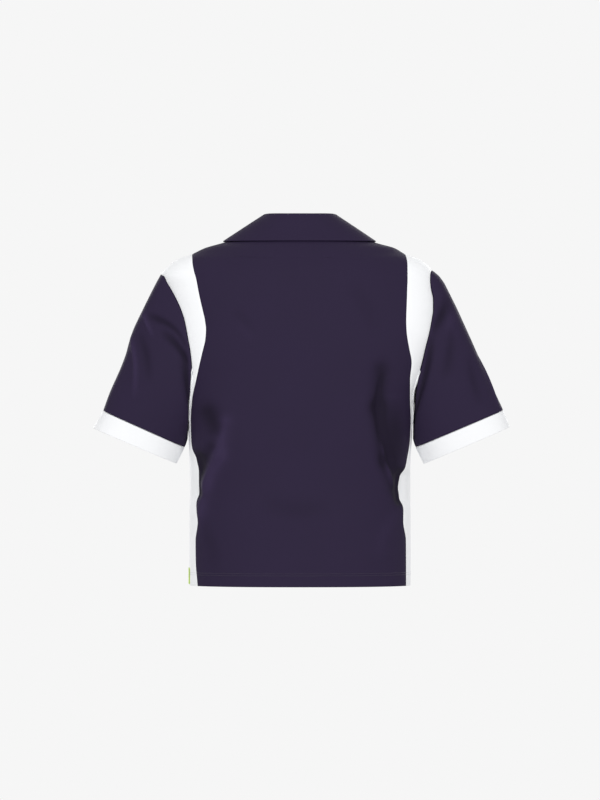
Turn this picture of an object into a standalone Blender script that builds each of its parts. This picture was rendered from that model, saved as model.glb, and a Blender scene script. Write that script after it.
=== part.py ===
"""A cropped polo shirt with short sleeves, filled out as when worn.

It is made of the pieces of cloth that such a shirt is sewn from.

The shirt faces -Y, the wearer's left is at +X and +Z is up. The origin is the middle of the neck opening.
Tables and sizes are in millimetres and degrees, and meshes are in metres.

A place on the body is an angle and a height. The angle goes round the body from the centre back (0) by the
wearer's left side (90) to the centre front (180), and the other way round with negative angles.
"""

import bisect
import math
from collections import namedtuple

import bmesh
import bpy
import numpy as np

MM = 0.001
LEFT, RIGHT = 1, -1
BACK, FRONT = 1, -1

CLOTH = 1.2  # thickness of the jersey
CUFF_CLOTH = 2.0  # the cuff is a folded band
COLLAR_CLOTH = 1.6  # the collar is two layers
BAND_CLOTH = 1.4
TAB_CLOTH = 0.8
SEAM = 0.34  # gap between sewn pieces
MARGIN = 3.0  # width of the narrow strip along each sewn edge, which keeps the edge square to the cloth
MARGIN_STEPS = 50
MARGIN_MOST = 0.4  # the strip takes no more than this share of the column it narrows
CURVE_STEPS = 160  # places worked out along a curve before it is spaced
NORMAL_STEP = 0.5  # degrees and millimetres between the places that give the direction out of the cloth
WELD = 1e-6  # metres
CREASE_ANGLE = 60.0

HEM = -513.0
CORNER = -190.5  # height where the armhole starts to curve under the arm
UNDERARM = -228.0
SHOULDER_JOIN = -16.5  # height where the curved seams meet the shoulder seam
NECK_TOP = 13.5
NECK_HALF = 68.0
NECK_DROP = {BACK: 9.5, FRONT: 88.5}
NECK_POWER = 2.2
SHOULDER_TIP = {LEFT: -46.5, RIGHT: -40.5}
JOIN_DROP = 0.3  # room left below the join for the turned edges
SHOULDER_SLIT = 0.02  # degrees that part the two ends of a side panel on the shoulder

BODY_ROWS, ARMHOLE_ROWS, SHOULDER_ROWS = 16, 9, 5
BODY_COLUMNS = 16
LEG_COLUMNS, UNDERARM_COLUMNS = 2, 6
SLEEVE_ROWS, CUFF_ROWS = 9, 2
COLLAR_BACK_STEPS, COLLAR_FRONT_STEPS = BODY_COLUMNS // 2, BODY_COLUMNS // 2

Section = namedtuple("Section", "height left right back front squareness")
SECTIONS = (
    Section(13.5, 68.0, 68.0, 50.0, 30.0, 2.0),
    Section(-1.5, 121.5, 120.0, 66.0, 43.0, 2.0),
    Section(-7.5, 142.4, 141.5, 71.5, 47.0, 2.05),
    Section(-16.5, 161.6, 157.5, 78.0, 52.0, 2.1),
    Section(-24.5, 183.0, 178.5, 81.5, 57.0, 2.15),
    Section(-33.0, 195.5, 191.0, 85.0, 61.5, 2.2),
    Section(-40.5, 203.5, 197.5, 87.5, 65.0, 2.25),
    Section(-46.5, 208.5, 201.0, 89.0, 67.0, 2.3),
    Section(-70.0, 201.0, 205.0, 93.5, 77.0, 2.3),
    Section(-100.0, 193.3, 209.0, 98.0, 87.0, 2.3),
    Section(-130.0, 189.0, 208.0, 101.5, 96.0, 2.3),
    Section(-160.0, 185.2, 201.0, 104.0, 104.0, 2.3),
    Section(-190.0, 180.8, 191.0, 105.0, 110.0, 2.3),
    Section(-210.0, 176.0, 181.5, 105.0, 113.0, 2.4),
    Section(-228.0, 172.0, 173.5, 105.0, 115.0, 2.5),
    Section(-250.0, 169.5, 170.5, 104.5, 117.0, 2.7),
    Section(-290.0, 167.0, 168.0, 103.0, 117.5, 2.8),
    Section(-325.0, 166.0, 166.0, 102.0, 116.5, 2.6),
    Section(-360.0, 165.5, 165.5, 102.0, 115.5, 2.4),
    Section(-420.0, 166.0, 166.0, 104.0, 114.5, 2.4),
    Section(-513.0, 166.0, 166.0, 107.0, 114.0, 2.4),
)

# How far each curved seam stands from the middle of the shirt.
SeamRow = namedtuple("SeamRow", "height back_left back_right front_left front_right")
SEAM_ROWS = (
    SeamRow(-16.5, 161.6, 157.5, 161.6, 157.5),
    SeamRow(-24.0, 161.0, 159.4, 159.0, 156.8),
    SeamRow(-31.5, 160.4, 160.4, 157.0, 155.8),
    SeamRow(-43.5, 158.0, 160.4, 154.5, 154.0),
    SeamRow(-55.5, 154.7, 160.4, 153.0, 153.0),
    SeamRow(-70.0, 152.0, 159.8, 150.5, 150.5),
    SeamRow(-85.5, 148.8, 159.3, 148.0, 148.0),
    SeamRow(-100.5, 145.3, 158.7, 146.5, 146.5),
    SeamRow(-115.5, 141.8, 158.2, 145.5, 145.5),
    SeamRow(-130.5, 140.0, 158.6, 145.5, 145.5),
    SeamRow(-145.5, 141.0, 160.3, 146.5, 146.5),
    SeamRow(-160.5, 144.5, 163.2, 148.0, 148.0),
    SeamRow(-180.0, 149.3, 166.6, 151.0, 151.0),
    SeamRow(-205.5, 155.0, 164.4, 155.0, 155.0),
    SeamRow(-235.5, 161.5, 164.8, 159.0, 159.0),
    SeamRow(-265.5, 163.7, 166.0, 161.0, 161.0),
    SeamRow(-295.5, 162.9, 165.0, 160.0, 160.0),
    SeamRow(-325.5, 158.5, 160.6, 157.0, 157.0),
    SeamRow(-340.5, 156.5, 158.0, 155.0, 155.0),
    SeamRow(-357.0, 155.0, 156.0, 153.5, 153.5),
    SeamRow(-370.5, 154.5, 155.0, 152.5, 152.5),
    SeamRow(-385.5, 154.5, 155.2, 152.0, 152.0),
    SeamRow(-415.5, 152.6, 154.4, 151.0, 151.0),
    SeamRow(-445.5, 156.3, 158.6, 151.0, 151.0),
    SeamRow(-475.0, 156.0, 158.8, 151.5, 151.5),
    SeamRow(-513.0, 153.0, 158.8, 152.0, 152.0),
)

# How far the armhole seam stands from the middle of the shirt.
ArmholeRow = namedtuple("ArmholeRow", "height left right")
ARMHOLE_ROWS_TABLE = (
    ArmholeRow(-40.5, 208.5, 197.5),
    ArmholeRow(-46.5, 208.5, 195.3),
    ArmholeRow(-49.5, 203.9, 195.0),
    ArmholeRow(-55.5, 201.0, 194.7),
    ArmholeRow(-67.5, 193.8, 195.6),
    ArmholeRow(-85.5, 184.4, 199.0),
    ArmholeRow(-100.5, 177.6, 199.0),
    ArmholeRow(-115.5, 172.5, 196.8),
    ArmholeRow(-130.5, 169.3, 194.0),
    ArmholeRow(-145.5, 166.6, 190.5),
    ArmholeRow(-160.5, 163.8, 186.6),
    ArmholeRow(-175.5, 161.9, 183.2),
    ArmholeRow(-190.5, 160.8, 179.4),
)

# The largest folds: soft ridges (+) and troughs (-) along a line on the back or the front.
Fold = namedtuple("Fold", "face across height to_across to_height reach relief")
FOLDS = (
    Fold(BACK, 138.0, -254.0, 126.0, -276.0, 15.0, -3.0),
    Fold(BACK, 112.0, -268.0, 121.0, -318.0, 11.0, 2.5),
    Fold(BACK, 121.0, -318.0, 141.0, -360.0, 11.0, 3.0),
    Fold(BACK, 141.0, -360.0, 147.0, -402.0, 10.0, 2.0),
    Fold(BACK, 132.0, -306.0, 148.0, -338.0, 9.0, -2.5),
    Fold(BACK, -121.0, -190.0, -117.0, -246.0, 12.0, -2.5),
    Fold(BACK, -117.0, -246.0, -130.0, -325.0, 12.0, -4.0),
    Fold(BACK, -130.0, -325.0, -144.0, -368.0, 11.0, -3.0),
    Fold(BACK, 154.0, -322.0, 152.0, -374.0, 9.0, -5.5),
    Fold(BACK, -154.0, -350.0, -152.0, -382.0, 9.0, -8.5),
    Fold(FRONT, 132.0, -205.0, 118.0, -262.0, 13.0, -3.0),
    Fold(FRONT, 118.0, -262.0, 126.0, -330.0, 12.0, -2.5),
    Fold(FRONT, -134.0, -208.0, -121.0, -270.0, 13.0, -3.0),
    Fold(FRONT, -121.0, -270.0, -131.0, -345.0, 12.0, -2.0),
)

# The crest line of the collar, from the centre back (0) over the shoulder (1) to the front end (2).
CrestRow = namedtuple("CrestRow", "station across depth height")
CREST_ROWS = (
    CrestRow(0.0, 0.0, 47.0, 42.0),
    CrestRow(0.35, 20.5, 43.0, 42.0),
    CrestRow(0.7, 40.5, 28.0, 42.0),
    CrestRow(1.0, 51.0, 2.0, 41.0),
    CrestRow(1.3, 51.0, -23.0, 29.0),
    CrestRow(1.65, 37.0, -50.0, 1.0),
    CrestRow(2.0, 6.0, -72.0, -48.0),
)
CREST_RADIUS = 3.0
CREST_STEPS = 5
LEAF_SHARES = (0.25, 0.5, 0.75)  # places of the leaf between its crest and its edge
COLLAR_LIFT = 1.2  # the stand starts this far above the neck seam
LEAF_CLEARANCE = 2.0
LEAF_HEIGHT = 2.4  # height of the leaf's edge at the back
LEAF_BOW = 0.8  # how far the leaf arches between its crest and its edge
LEAF_FRONT_CLEARANCE = 3.2
LeafRow = namedtuple("LeafRow", "height across")
LEAF_ROWS = (
    LeafRow(2.4, 107.5),
    LeafRow(-20.0, 108.5),
    LeafRow(-50.0, 99.0),
    LeafRow(-82.0, 82.0),
    LeafRow(-103.0, 60.0),
)

# Rings of the sleeve where the cuff is sewn on and where the cuff ends: outer and inner corner.
Ring = namedtuple("Ring", "outer_across outer_height inner_across inner_height half_depth")
CUFF_SEAM = {
    LEFT: Ring(295.3, -251.5, 172.8, -306.3, 42.0),
    RIGHT: Ring(304.8, -250.5, 173.3, -306.3, 42.0),
}
CUFF_END = {
    LEFT: Ring(310.3, -277.5, 185.0, -330.9, 43.0),
    RIGHT: Ring(314.8, -276.0, 185.5, -331.3, 43.0),
}
SLEEVE_SQUARENESS = 2.3
SLEEVE_GAP = 0.5  # how far the sleeve starts from the panel's edge
SLEEVE_LEAN = 0.8  # how much of that is into the armhole rather than out from the cloth
SLEEVE_FULLNESS = 5.0
# How far the sleeve's outer edge stands out from a straight line, by the share of the way down.
OutlineRow = namedtuple("OutlineRow", "share left right")
OUTLINE_ROWS = (
    OutlineRow(0.0, 0.0, 0.0),
    OutlineRow(0.06, 1.6, 6.0),
    OutlineRow(0.12, 2.8, 8.0),
    OutlineRow(0.26, 4.7, 7.8),
    OutlineRow(0.41, 6.1, 6.4),
    OutlineRow(0.5, 4.6, 5.4),
    OutlineRow(0.6, 1.7, 4.0),
    OutlineRow(0.7, 0.9, 2.8),
    OutlineRow(0.85, 1.5, 1.2),
    OutlineRow(1.0, 0.0, 0.0),
)
# How far the sleeve's inner side wraps round the body.
HUG = {LEFT: 9.0, RIGHT: 5.0}
HUG_ANGLE, HUG_SPREAD = 138.0, 26.0
SLEEVE_CLEARANCE = 1.3
INNER_TUCK = 5.0  # how far the inner edge is drawn in before it meets the body
CLEARANCE_SHARE = 0.25
CLEARANCE_TOP = -170.0
CUFF_START = 0.02

SLOT_HALF = 12.5
SLOT_BOTTOM = -214.0
BAND_LAP = 3.0
BAND_TAIL = 6.0
BAND_LIFT = 0.35  # gap between a band and the front
BUTTON_HEIGHTS = (-92.0, -140.0, -188.0)
BUTTON_RADIUS = 5.5
BUTTON_STEPS = 16
BUTTON_HOLE_RADIUS = 0.8
BUTTON_HOLE_OFFSET = 1.25
BUTTON_HOLE_SIDES = 6
BUTTON_UNDERSIDE = 1.0  # from the button's middle to its flat back
BUTTON_PROFILE = (
    (0.0, 0.9),
    (3.3, 0.9),
    (3.9, 1.4),
    (4.9, 1.4),
    (BUTTON_RADIUS, 0.9),
    (BUTTON_RADIUS, -0.5),
    (4.9, -BUTTON_UNDERSIDE),
    (0.0, -BUTTON_UNDERSIDE),
)

TAB_DEPTHS = (20.0, 9.0, -2.0, -13.0)
TAB_BOTTOM, TAB_HEIGHT, TAB_ROWS = -511.0, 24.0, 3

NAVY = (0.033, 0.026, 0.055)
WHITE = (0.86, 0.87, 0.90)
LIME = (0.62, 0.85, 0.08)
BUTTON_NAVY = (0.02, 0.017, 0.035)
NAVY_ROUGHNESS, WHITE_ROUGHNESS, LIME_ROUGHNESS = 0.55, 0.6, 0.6
BUTTON_ROUGHNESS = 0.3


class Column:
    """A smooth curve through one column of a table, read by the table's first column, without overshoot."""

    def __init__(self, rows, name):
        ordered = sorted(rows)
        self.places = [row[0] for row in ordered]
        self.values = [getattr(row, name) for row in ordered]
        steps = np.diff(self.values) / np.diff(self.places)
        inner = [2 * a * b / (a + b) if a * b > 0 else 0.0 for a, b in zip(steps, steps[1:])]
        self.slopes = [steps[0], *inner, steps[-1]]

    def __call__(self, place):
        place = min(max(place, self.places[0]), self.places[-1])
        low = min(bisect.bisect_right(self.places, place), len(self.places) - 1) - 1
        span = self.places[low + 1] - self.places[low]
        t = (place - self.places[low]) / span
        return (
            self.values[low] * (1 + 2 * t) * (1 - t) ** 2
            + self.values[low + 1] * t**2 * (3 - 2 * t)
            + self.slopes[low] * span * t * (1 - t) ** 2
            - self.slopes[low + 1] * span * t**2 * (1 - t)
        )


half_width = {LEFT: Column(SECTIONS, "left"), RIGHT: Column(SECTIONS, "right")}
half_depth = {BACK: Column(SECTIONS, "back"), FRONT: Column(SECTIONS, "front")}
squareness = Column(SECTIONS, "squareness")
seam_across = {
    (BACK, LEFT): Column(SEAM_ROWS, "back_left"),
    (BACK, RIGHT): Column(SEAM_ROWS, "back_right"),
    (FRONT, LEFT): Column(SEAM_ROWS, "front_left"),
    (FRONT, RIGHT): Column(SEAM_ROWS, "front_right"),
}
armhole_across = {LEFT: Column(ARMHOLE_ROWS_TABLE, "left"), RIGHT: Column(ARMHOLE_ROWS_TABLE, "right")}
outline = {LEFT: Column(OUTLINE_ROWS, "left"), RIGHT: Column(OUTLINE_ROWS, "right")}
leaf_across = Column(LEAF_ROWS, "across")
crest = [Column(CREST_ROWS, name) for name in ("across", "depth", "height")]


def unit(vector):
    return vector / np.linalg.norm(vector)


# ---- The body's form ----


def relief(face, across, height):
    """How far the folds lift the cloth at one place."""
    total = 0.0
    here = np.array((across, height))
    for fold in FOLDS:
        if fold.face != face:
            continue
        start = np.array((fold.across, fold.height))
        line = np.array((fold.to_across, fold.to_height)) - start
        share = min(max(np.dot(here - start, line) / np.dot(line, line), 0.0), 1.0)
        far = np.linalg.norm(here - start - share * line) / fold.reach
        total += fold.relief * math.exp(-far * far)
    return total


def smooth_point(angle, height):
    """The place on the body's form, without folds."""
    angle = (angle + 180) % 360 - 180
    side = LEFT if angle >= 0 else RIGHT
    turn = math.radians(abs(angle))
    face = BACK if abs(angle) <= 90 else FRONT
    width = half_width[side](height)
    depth = half_depth[face](height)
    power = 2 / squareness(height)
    across = side * width * abs(math.sin(turn)) ** power
    along = face * depth * abs(math.cos(turn)) ** power
    return np.array((across, along, height))


def bare_point(angle, height):
    """The place on the body's form, with its folds."""
    point = smooth_point(angle, height)
    across, along, _ = point
    face = BACK if along >= 0 else FRONT
    side = LEFT if across >= 0 else RIGHT
    away = (across / half_width[side](height) ** 2, along / half_depth[face](height) ** 2, 0.0)
    return point + relief(face, across, height) * unit(np.array(away))


def outward(angle, height):
    """The direction straight out of the cloth."""
    round_body = bare_point(angle + NORMAL_STEP, height) - bare_point(angle - NORMAL_STEP, height)
    above = bare_point(angle, min(height + NORMAL_STEP, NECK_TOP))
    up_body = above - bare_point(angle, height - NORMAL_STEP)
    straight = unit(np.cross(up_body, round_body))
    turn = math.radians(angle)
    away = np.array((math.sin(turn), math.cos(turn), 1.0))
    return straight if np.dot(straight, away) > 0 else -straight


def body_point(angle, height, out=0.0):
    place = bare_point(angle, height)
    return place + out * outward(angle, height) if out else place


def angle_at(side, face, across, height):
    """The angle of the place that stands this far from the middle."""
    ratio = min(across / half_width[side](height), 1.0)
    turn = math.degrees(math.asin(ratio ** (squareness(height) / 2)))
    return side * (turn if face == BACK else 180 - turn)


def spaced(curve, count):
    """count + 1 places along a curve on the body, equally far apart."""
    curve = np.array(curve)
    places = np.array([bare_point(*place) for place in curve])
    lengths = np.concatenate(([0.0], np.cumsum(np.linalg.norm(np.diff(places, axis=0), axis=1))))
    wanted = np.linspace(0.0, lengths[-1], count + 1)
    return np.stack([np.interp(wanted, lengths, curve[:, i]) for i in (0, 1)], axis=1)


def spaced_to_margin(curve, count):
    """As spaced, with one more place a margin before the end."""
    curve = np.array(curve)
    far = np.linalg.norm([bare_point(*place) - bare_point(*curve[-1]) for place in curve], axis=1)
    last = len(far) - int(np.argmax(far[::-1] > MARGIN)) - 1
    share = (far[last] - MARGIN) / (far[last] - far[last + 1])
    near_end = curve[last] * (1 - share) + curve[last + 1] * share
    places = spaced(curve, count)
    return np.concatenate((places[:-1], [near_end], places[-1:]))


def going_up(low, high, count=CURVE_STEPS):
    """Heights from low to high, closest together near the top."""
    return low + (high - low) * (1 - np.linspace(1.0, 0.0, count) ** 2)


# ---- Seams, as lists of angles and heights ----


def curved_seam(side, face):
    """From the hem to the shoulder, with a place for each row of the panels."""
    across = seam_across[face, side]

    def stretch(low, high):
        return [(angle_at(side, face, across(z), z), z) for z in going_up(low, high)]

    upper = [*stretch(CORNER, SHOULDER_JOIN)[:-1], (side * 90.0, SHOULDER_JOIN)]
    lower = spaced(stretch(HEM, CORNER), BODY_ROWS)
    return np.concatenate((lower, spaced_to_margin(upper, ARMHOLE_ROWS)[1:]))


def shoulder_seam(side):
    heights = np.linspace(SHOULDER_JOIN, NECK_TOP, CURVE_STEPS)
    return spaced([(side * 90.0, z) for z in heights], SHOULDER_ROWS)


def armhole_side(side, face):
    """From the corner under the arm up to the shoulder's tip."""
    tip = SHOULDER_TIP[side]
    heights = going_up(CORNER, tip)
    places = [(angle_at(side, face, armhole_across[side](z), z), z) for z in heights]
    places[-1] = (side * 90.0, tip)
    return spaced_to_margin(places, ARMHOLE_ROWS)


def underarm(side):
    """Under the arm, from the back corner to the front corner."""
    corner = abs(armhole_side(side, BACK)[0][0])
    turns = np.radians(np.linspace(0.0, 180.0, CURVE_STEPS))
    return spaced(
        [
            (side * (90.0 - (90.0 - corner) * math.cos(t)), CORNER - (CORNER - UNDERARM) * math.sin(t))
            for t in turns
        ],
        UNDERARM_COLUMNS,
    )


def neck_height(across, face):
    inside = max(1 - (abs(across) / NECK_HALF) ** NECK_POWER, 0.0)
    return NECK_TOP - NECK_DROP[face] * inside ** (1 / NECK_POWER)


def neckline(face, start=NECK_HALF, end=-NECK_HALF):
    """Places along the neckline from one distance from the middle to another."""
    turns = np.linspace(math.acos(start / NECK_HALF), math.acos(end / NECK_HALF), CURVE_STEPS)
    places = []
    for t in turns:
        across = NECK_HALF * math.cos(t)
        side = LEFT if across >= 0 else RIGHT
        height = neck_height(across, face)
        angle = angle_at(side, face, abs(across), height)
        places.append((angle if face == BACK else angle % 360, height))
    return places


# ---- Grids of places ----


def patch(bottom, top, left, right, rise):
    """A grid that fills four edges. rise says, for each row, how much it follows the top edge."""
    across = np.linspace(0.0, 1.0, len(bottom))[:, None]
    bend_bottom = bottom - (bottom[0] * (1 - across) + bottom[-1] * across)
    bend_top = top - (top[0] * (1 - across) + top[-1] * across)
    return np.array(
        [
            start * (1 - across) + end * across + bend_bottom * (1 - share) + bend_top * share
            for start, end, share in zip(left, right, rise)
        ]
    )


def place_at(face, across, height):
    """The angle and height of the place this far to the wearer's left of the middle."""
    side = LEFT if across >= 0 else RIGHT
    angle = angle_at(side, face, abs(across), height)
    return (angle if face == BACK else angle % 360, height)


def panel_patch(face, bottom, top, left, right, rise):
    """A grid that fills four edges on the back or the front, kept even in distance from the middle."""
    edges = []
    for edge in (bottom, top, left, right):
        edges.append(np.array([(smooth_point(*place)[0], place[1]) for place in edge]))
    grid = np.array([[place_at(face, *place) for place in row] for row in patch(*edges, rise)])
    grid[0], grid[-1], grid[:, 0], grid[:, -1] = bottom, top, left, right
    return grid


def late_rise(rows, first):
    """Nothing up to the row first, then smoothly up to 1 at the last row."""
    share = np.clip((np.arange(rows) - first) / (rows - 1 - first), 0.0, 1.0)
    return np.sin(share * math.pi / 2)


def level(start, end, columns):
    """Places round the hem, with an equal step of angle each."""
    return np.stack((np.linspace(start, end, columns + 1), np.full(columns + 1, HEM)), axis=1)


def margin_place(face, edge, inner):
    """The place a margin inside a sewn edge of the back or the front, towards the next column."""
    start, end = (np.array((smooth_point(*place)[0], place[1])) for place in (edge, inner))
    shares = np.linspace(0.0, 1.0, MARGIN_STEPS) ** 2
    places = [place_at(face, *(start + (end - start) * share)) for share in shares]
    far = [np.linalg.norm(bare_point(*place) - bare_point(*edge)) for place in places]
    share = np.interp(MARGIN, far, shares)
    return place_at(face, *(start + (end - start) * share))


def with_side_margins(face, grid):
    """Adds a narrow strip along the first and the last column."""
    first = [margin_place(face, row[0], row[1]) for row in grid]
    last = [margin_place(face, row[-1], row[-2]) for row in grid]
    return np.array([[row[0], a, *row[1:-1], b, row[-1]] for row, a, b in zip(grid, first, last)])


def with_seam_margin(grid):
    """Adds a narrow strip along the first column of a side panel."""
    rows = []
    for row in grid:
        far = np.linalg.norm(bare_point(*row[1]) - bare_point(*row[0]))
        rows.append([row[0], row[0] + (row[1] - row[0]) * min(MARGIN / far, MARGIN_MOST), *row[1:]])
    return np.array(rows)


def on_body(grid, out=0.0):
    return np.array([[body_point(*place, out) for place in row] for row in grid])


def back_grid():
    left = np.concatenate((curved_seam(LEFT, BACK), shoulder_seam(LEFT)[1:]))
    right = np.concatenate((curved_seam(RIGHT, BACK), shoulder_seam(RIGHT)[1:]))
    bottom = level(left[0][0], right[0][0], BODY_COLUMNS)
    top = spaced(neckline(BACK), BODY_COLUMNS)
    rise = late_rise(len(left), BODY_ROWS)
    return with_side_margins(BACK, panel_patch(BACK, bottom, top, left, right, rise))


def slot_line(across, heights):
    """A line down the front at a fixed distance from the middle."""
    side = LEFT if across >= 0 else RIGHT
    return np.array([(angle_at(side, FRONT, abs(across), z) % 360, z) for z in heights])


def front_grid():
    """The front in three strips: the wearer's left, the placket's slot, and the wearer's right."""
    left = np.concatenate((curved_seam(LEFT, FRONT), shoulder_seam(LEFT)[1:]))
    right = np.concatenate((curved_seam(RIGHT, FRONT), shoulder_seam(RIGHT)[1:]))
    left[:, 0] %= 360
    right[:, 0] %= 360
    rise = late_rise(len(left), BODY_ROWS)
    way = np.array([bare_point(*place) for place in left[BODY_ROWS:]])
    way = np.concatenate(([0.0], np.cumsum(np.linalg.norm(np.diff(way, axis=0), axis=1))))

    def middle_line(across):
        upper = CORNER + (neck_height(across, FRONT) - CORNER) * way / way[-1]
        return slot_line(across, [*left[:BODY_ROWS, 1], *upper])

    lines = [middle_line(x) for x in (SLOT_HALF, -SLOT_HALF)]
    centre = middle_line(0.0)
    columns = BODY_COLUMNS // 2 - 1

    def strip(first, last, neck_from, neck_to):
        bottom = level(first[0][0], last[0][0], columns)
        top = spaced(neckline(FRONT, neck_from, neck_to), columns)
        return panel_patch(FRONT, bottom, top, first, last, rise)

    left_strip = strip(left, lines[0], NECK_HALF, SLOT_HALF)
    right_strip = strip(lines[1], right, -SLOT_HALF, -NECK_HALF)
    whole = np.concatenate((left_strip, centre[:, None], right_strip), axis=1)
    return with_side_margins(FRONT, whole)


def side_grids(side):
    """The side panel as three grids: below the arm, up the back of the armhole, and up its front."""
    back_seam, front_seam = curved_seam(side, BACK), curved_seam(side, FRONT)
    back_edge, front_edge = armhole_side(side, BACK), armhole_side(side, FRONT)
    legs = []
    for seam, edge, lean in ((back_seam, back_edge, -1), (front_seam, front_edge, 1)):
        share = np.linspace(0.0, 1.0, LEG_COLUMNS + 1)[None, :, None]
        leg = seam[BODY_ROWS:, None] * (1 - share) + edge[:, None] * share
        leg[-1, :, 0] += side * lean * SHOULDER_SLIT
        leg[-1, 0, 1] -= JOIN_DROP
        leg[-2, 0, 1] -= JOIN_DROP / 2
        legs.append(leg)
    top = np.concatenate((legs[0][0], underarm(side)[1:-1], legs[1][0][::-1]))
    bottom = level(back_seam[0][0], front_seam[0][0], len(top) - 1)
    rise = np.linspace(0.0, 1.0, BODY_ROWS + 1) ** 2
    below = patch(bottom, top, back_seam[: BODY_ROWS + 1], front_seam[: BODY_ROWS + 1], rise)
    both_margins = with_seam_margin(with_seam_margin(below)[:, ::-1])[:, ::-1]
    return both_margins, with_seam_margin(legs[0]), with_seam_margin(legs[1])


# ---- Sleeves ----


def armhole_loop(side):
    """Places round the armhole: shoulder tip, down the back, under the arm and up the front."""
    back = np.delete(armhole_side(side, BACK), -2, axis=0)[::-1]
    front = np.delete(armhole_side(side, FRONT), -2, axis=0)
    return np.concatenate((back, underarm(side)[1:-1], front[:-1]))


def sleeve_start(side):
    """The armhole's points, moved off the body panel's edge by the seam gap."""
    loop = armhole_loop(side)
    points = np.array([bare_point(*place) for place in loop])
    centre = points.mean(axis=0)
    moved = []
    for index, point in enumerate(points):
        along = unit(points[(index + 1) % len(points)] - points[index - 1])
        normal = outward(*loop[index])
        inside = np.cross(along, normal)
        if np.dot(inside, centre - point) < 0:
            inside = -inside
        moved.append(point + SLEEVE_GAP * unit(normal + SLEEVE_LEAN * inside))
    return np.array(moved)


def ring_points(side, ring, shares):
    """Points of an oval that lies across the sleeve, starting at its outer corner and going by the back."""
    outer = np.array((ring.outer_across, 0.0, ring.outer_height))
    inner = np.array((ring.inner_across, 0.0, ring.inner_height))
    middle, reach = (outer + inner) / 2, (outer - inner) / 2
    power = 2 / SLEEVE_SQUARENESS
    points = []
    for share in shares:
        turn = share * 2 * math.pi
        along = math.copysign(abs(math.cos(turn)) ** power, math.cos(turn))
        deep = math.copysign(abs(math.sin(turn)) ** power, math.sin(turn))
        point = middle + reach * along + np.array((0.0, ring.half_depth * deep, 0.0))
        points.append(point * (side, 1, 1))
    return np.array(points)


def loop_shares(points):
    closed = np.concatenate((points, points[:1]))
    lengths = np.linalg.norm(np.diff(closed, axis=0), axis=1)
    half = len(points) // 2
    back = np.cumsum(lengths[:half]) / lengths[:half].sum() / 2
    front = 0.5 + np.cumsum(lengths[half:]) / lengths[half:].sum() / 2
    return np.concatenate(([0.0], back, front[:-1]))


def body_across(side, along, height):
    """How far the body stands from the middle, level with a point of the sleeve."""
    depth = half_depth[BACK if along >= 0 else FRONT](height)
    power = squareness(height)
    return half_width[side](height) * max(1 - (abs(along) / depth) ** power, 0.0) ** (1 / power)


def kept_clear(side, point, share):
    """The point, moved sideways where it would touch the body."""
    if point[2] > CLEARANCE_TOP:
        return point
    clearance = SEAM + SLEEVE_CLEARANCE * min(share / CLEARANCE_SHARE, 1.0)
    across = max(side * point[0], body_across(side, point[1], point[2]) + clearance)
    return np.array((side * across, point[1], point[2]))


def sleeve_rings(side):
    start = sleeve_start(side)
    shares = loop_shares(start)
    end = ring_points(side, CUFF_SEAM[side], shares)
    turns = shares * 360.0
    outer_line = end[0] - start[0]
    out = unit(np.array((side * abs(outer_line[2]), 0.0, abs(outer_line[0]))))
    rings = []
    for step in range(SLEEVE_ROWS + 1):
        share = step / SLEEVE_ROWS
        swell = math.sin(math.pi * share)
        ring = start * (1 - share) + end * share
        for index, turn in enumerate(turns):
            top = max(math.cos(math.radians(turn)), 0.0) ** 2
            deep = math.sin(math.radians(turn))
            hug = math.exp(-(((min(turn, 360 - turn) - HUG_ANGLE) / HUG_SPREAD) ** 2))
            ring[index] += out * outline[side](share) * top
            ring[index][1] += SLEEVE_FULLNESS * swell * deep
            inner = max(-math.cos(math.radians(turn)), 0.0) ** 4
            tuck = INNER_TUCK * inner * math.sin(math.pi * share**2)
            ring[index][0] -= side * (HUG[side] * hug * swell + tuck)
            ring[index] = kept_clear(side, ring[index], share)
        rings.append(ring)
    return np.array(rings)


def cuff_rings(side):
    """From just below the sleeve's edge to the cuff's end."""
    shares = loop_shares(sleeve_start(side))
    top = ring_points(side, CUFF_SEAM[side], shares)
    end = ring_points(side, CUFF_END[side], shares)
    return np.array([top + (end - top) * share for share in np.linspace(CUFF_START, 1.0, CUFF_ROWS + 1)])


# ---- Collar ----


def spaced_points(points, count):
    points = np.array(points)
    lengths = np.concatenate(([0.0], np.cumsum(np.linalg.norm(np.diff(points, axis=0), axis=1))))
    wanted = np.linspace(0.0, lengths[-1], count + 1)
    return np.stack([np.interp(wanted, lengths, points[:, i]) for i in range(3)], axis=1)


def collar_line(back_half, front_half):
    """Points of one half of a collar line, from the centre back to the front end."""
    back = spaced_points(back_half, COLLAR_BACK_STEPS)
    front = spaced_points(front_half, COLLAR_FRONT_STEPS)
    return np.concatenate((back, front[1:]))


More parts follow.
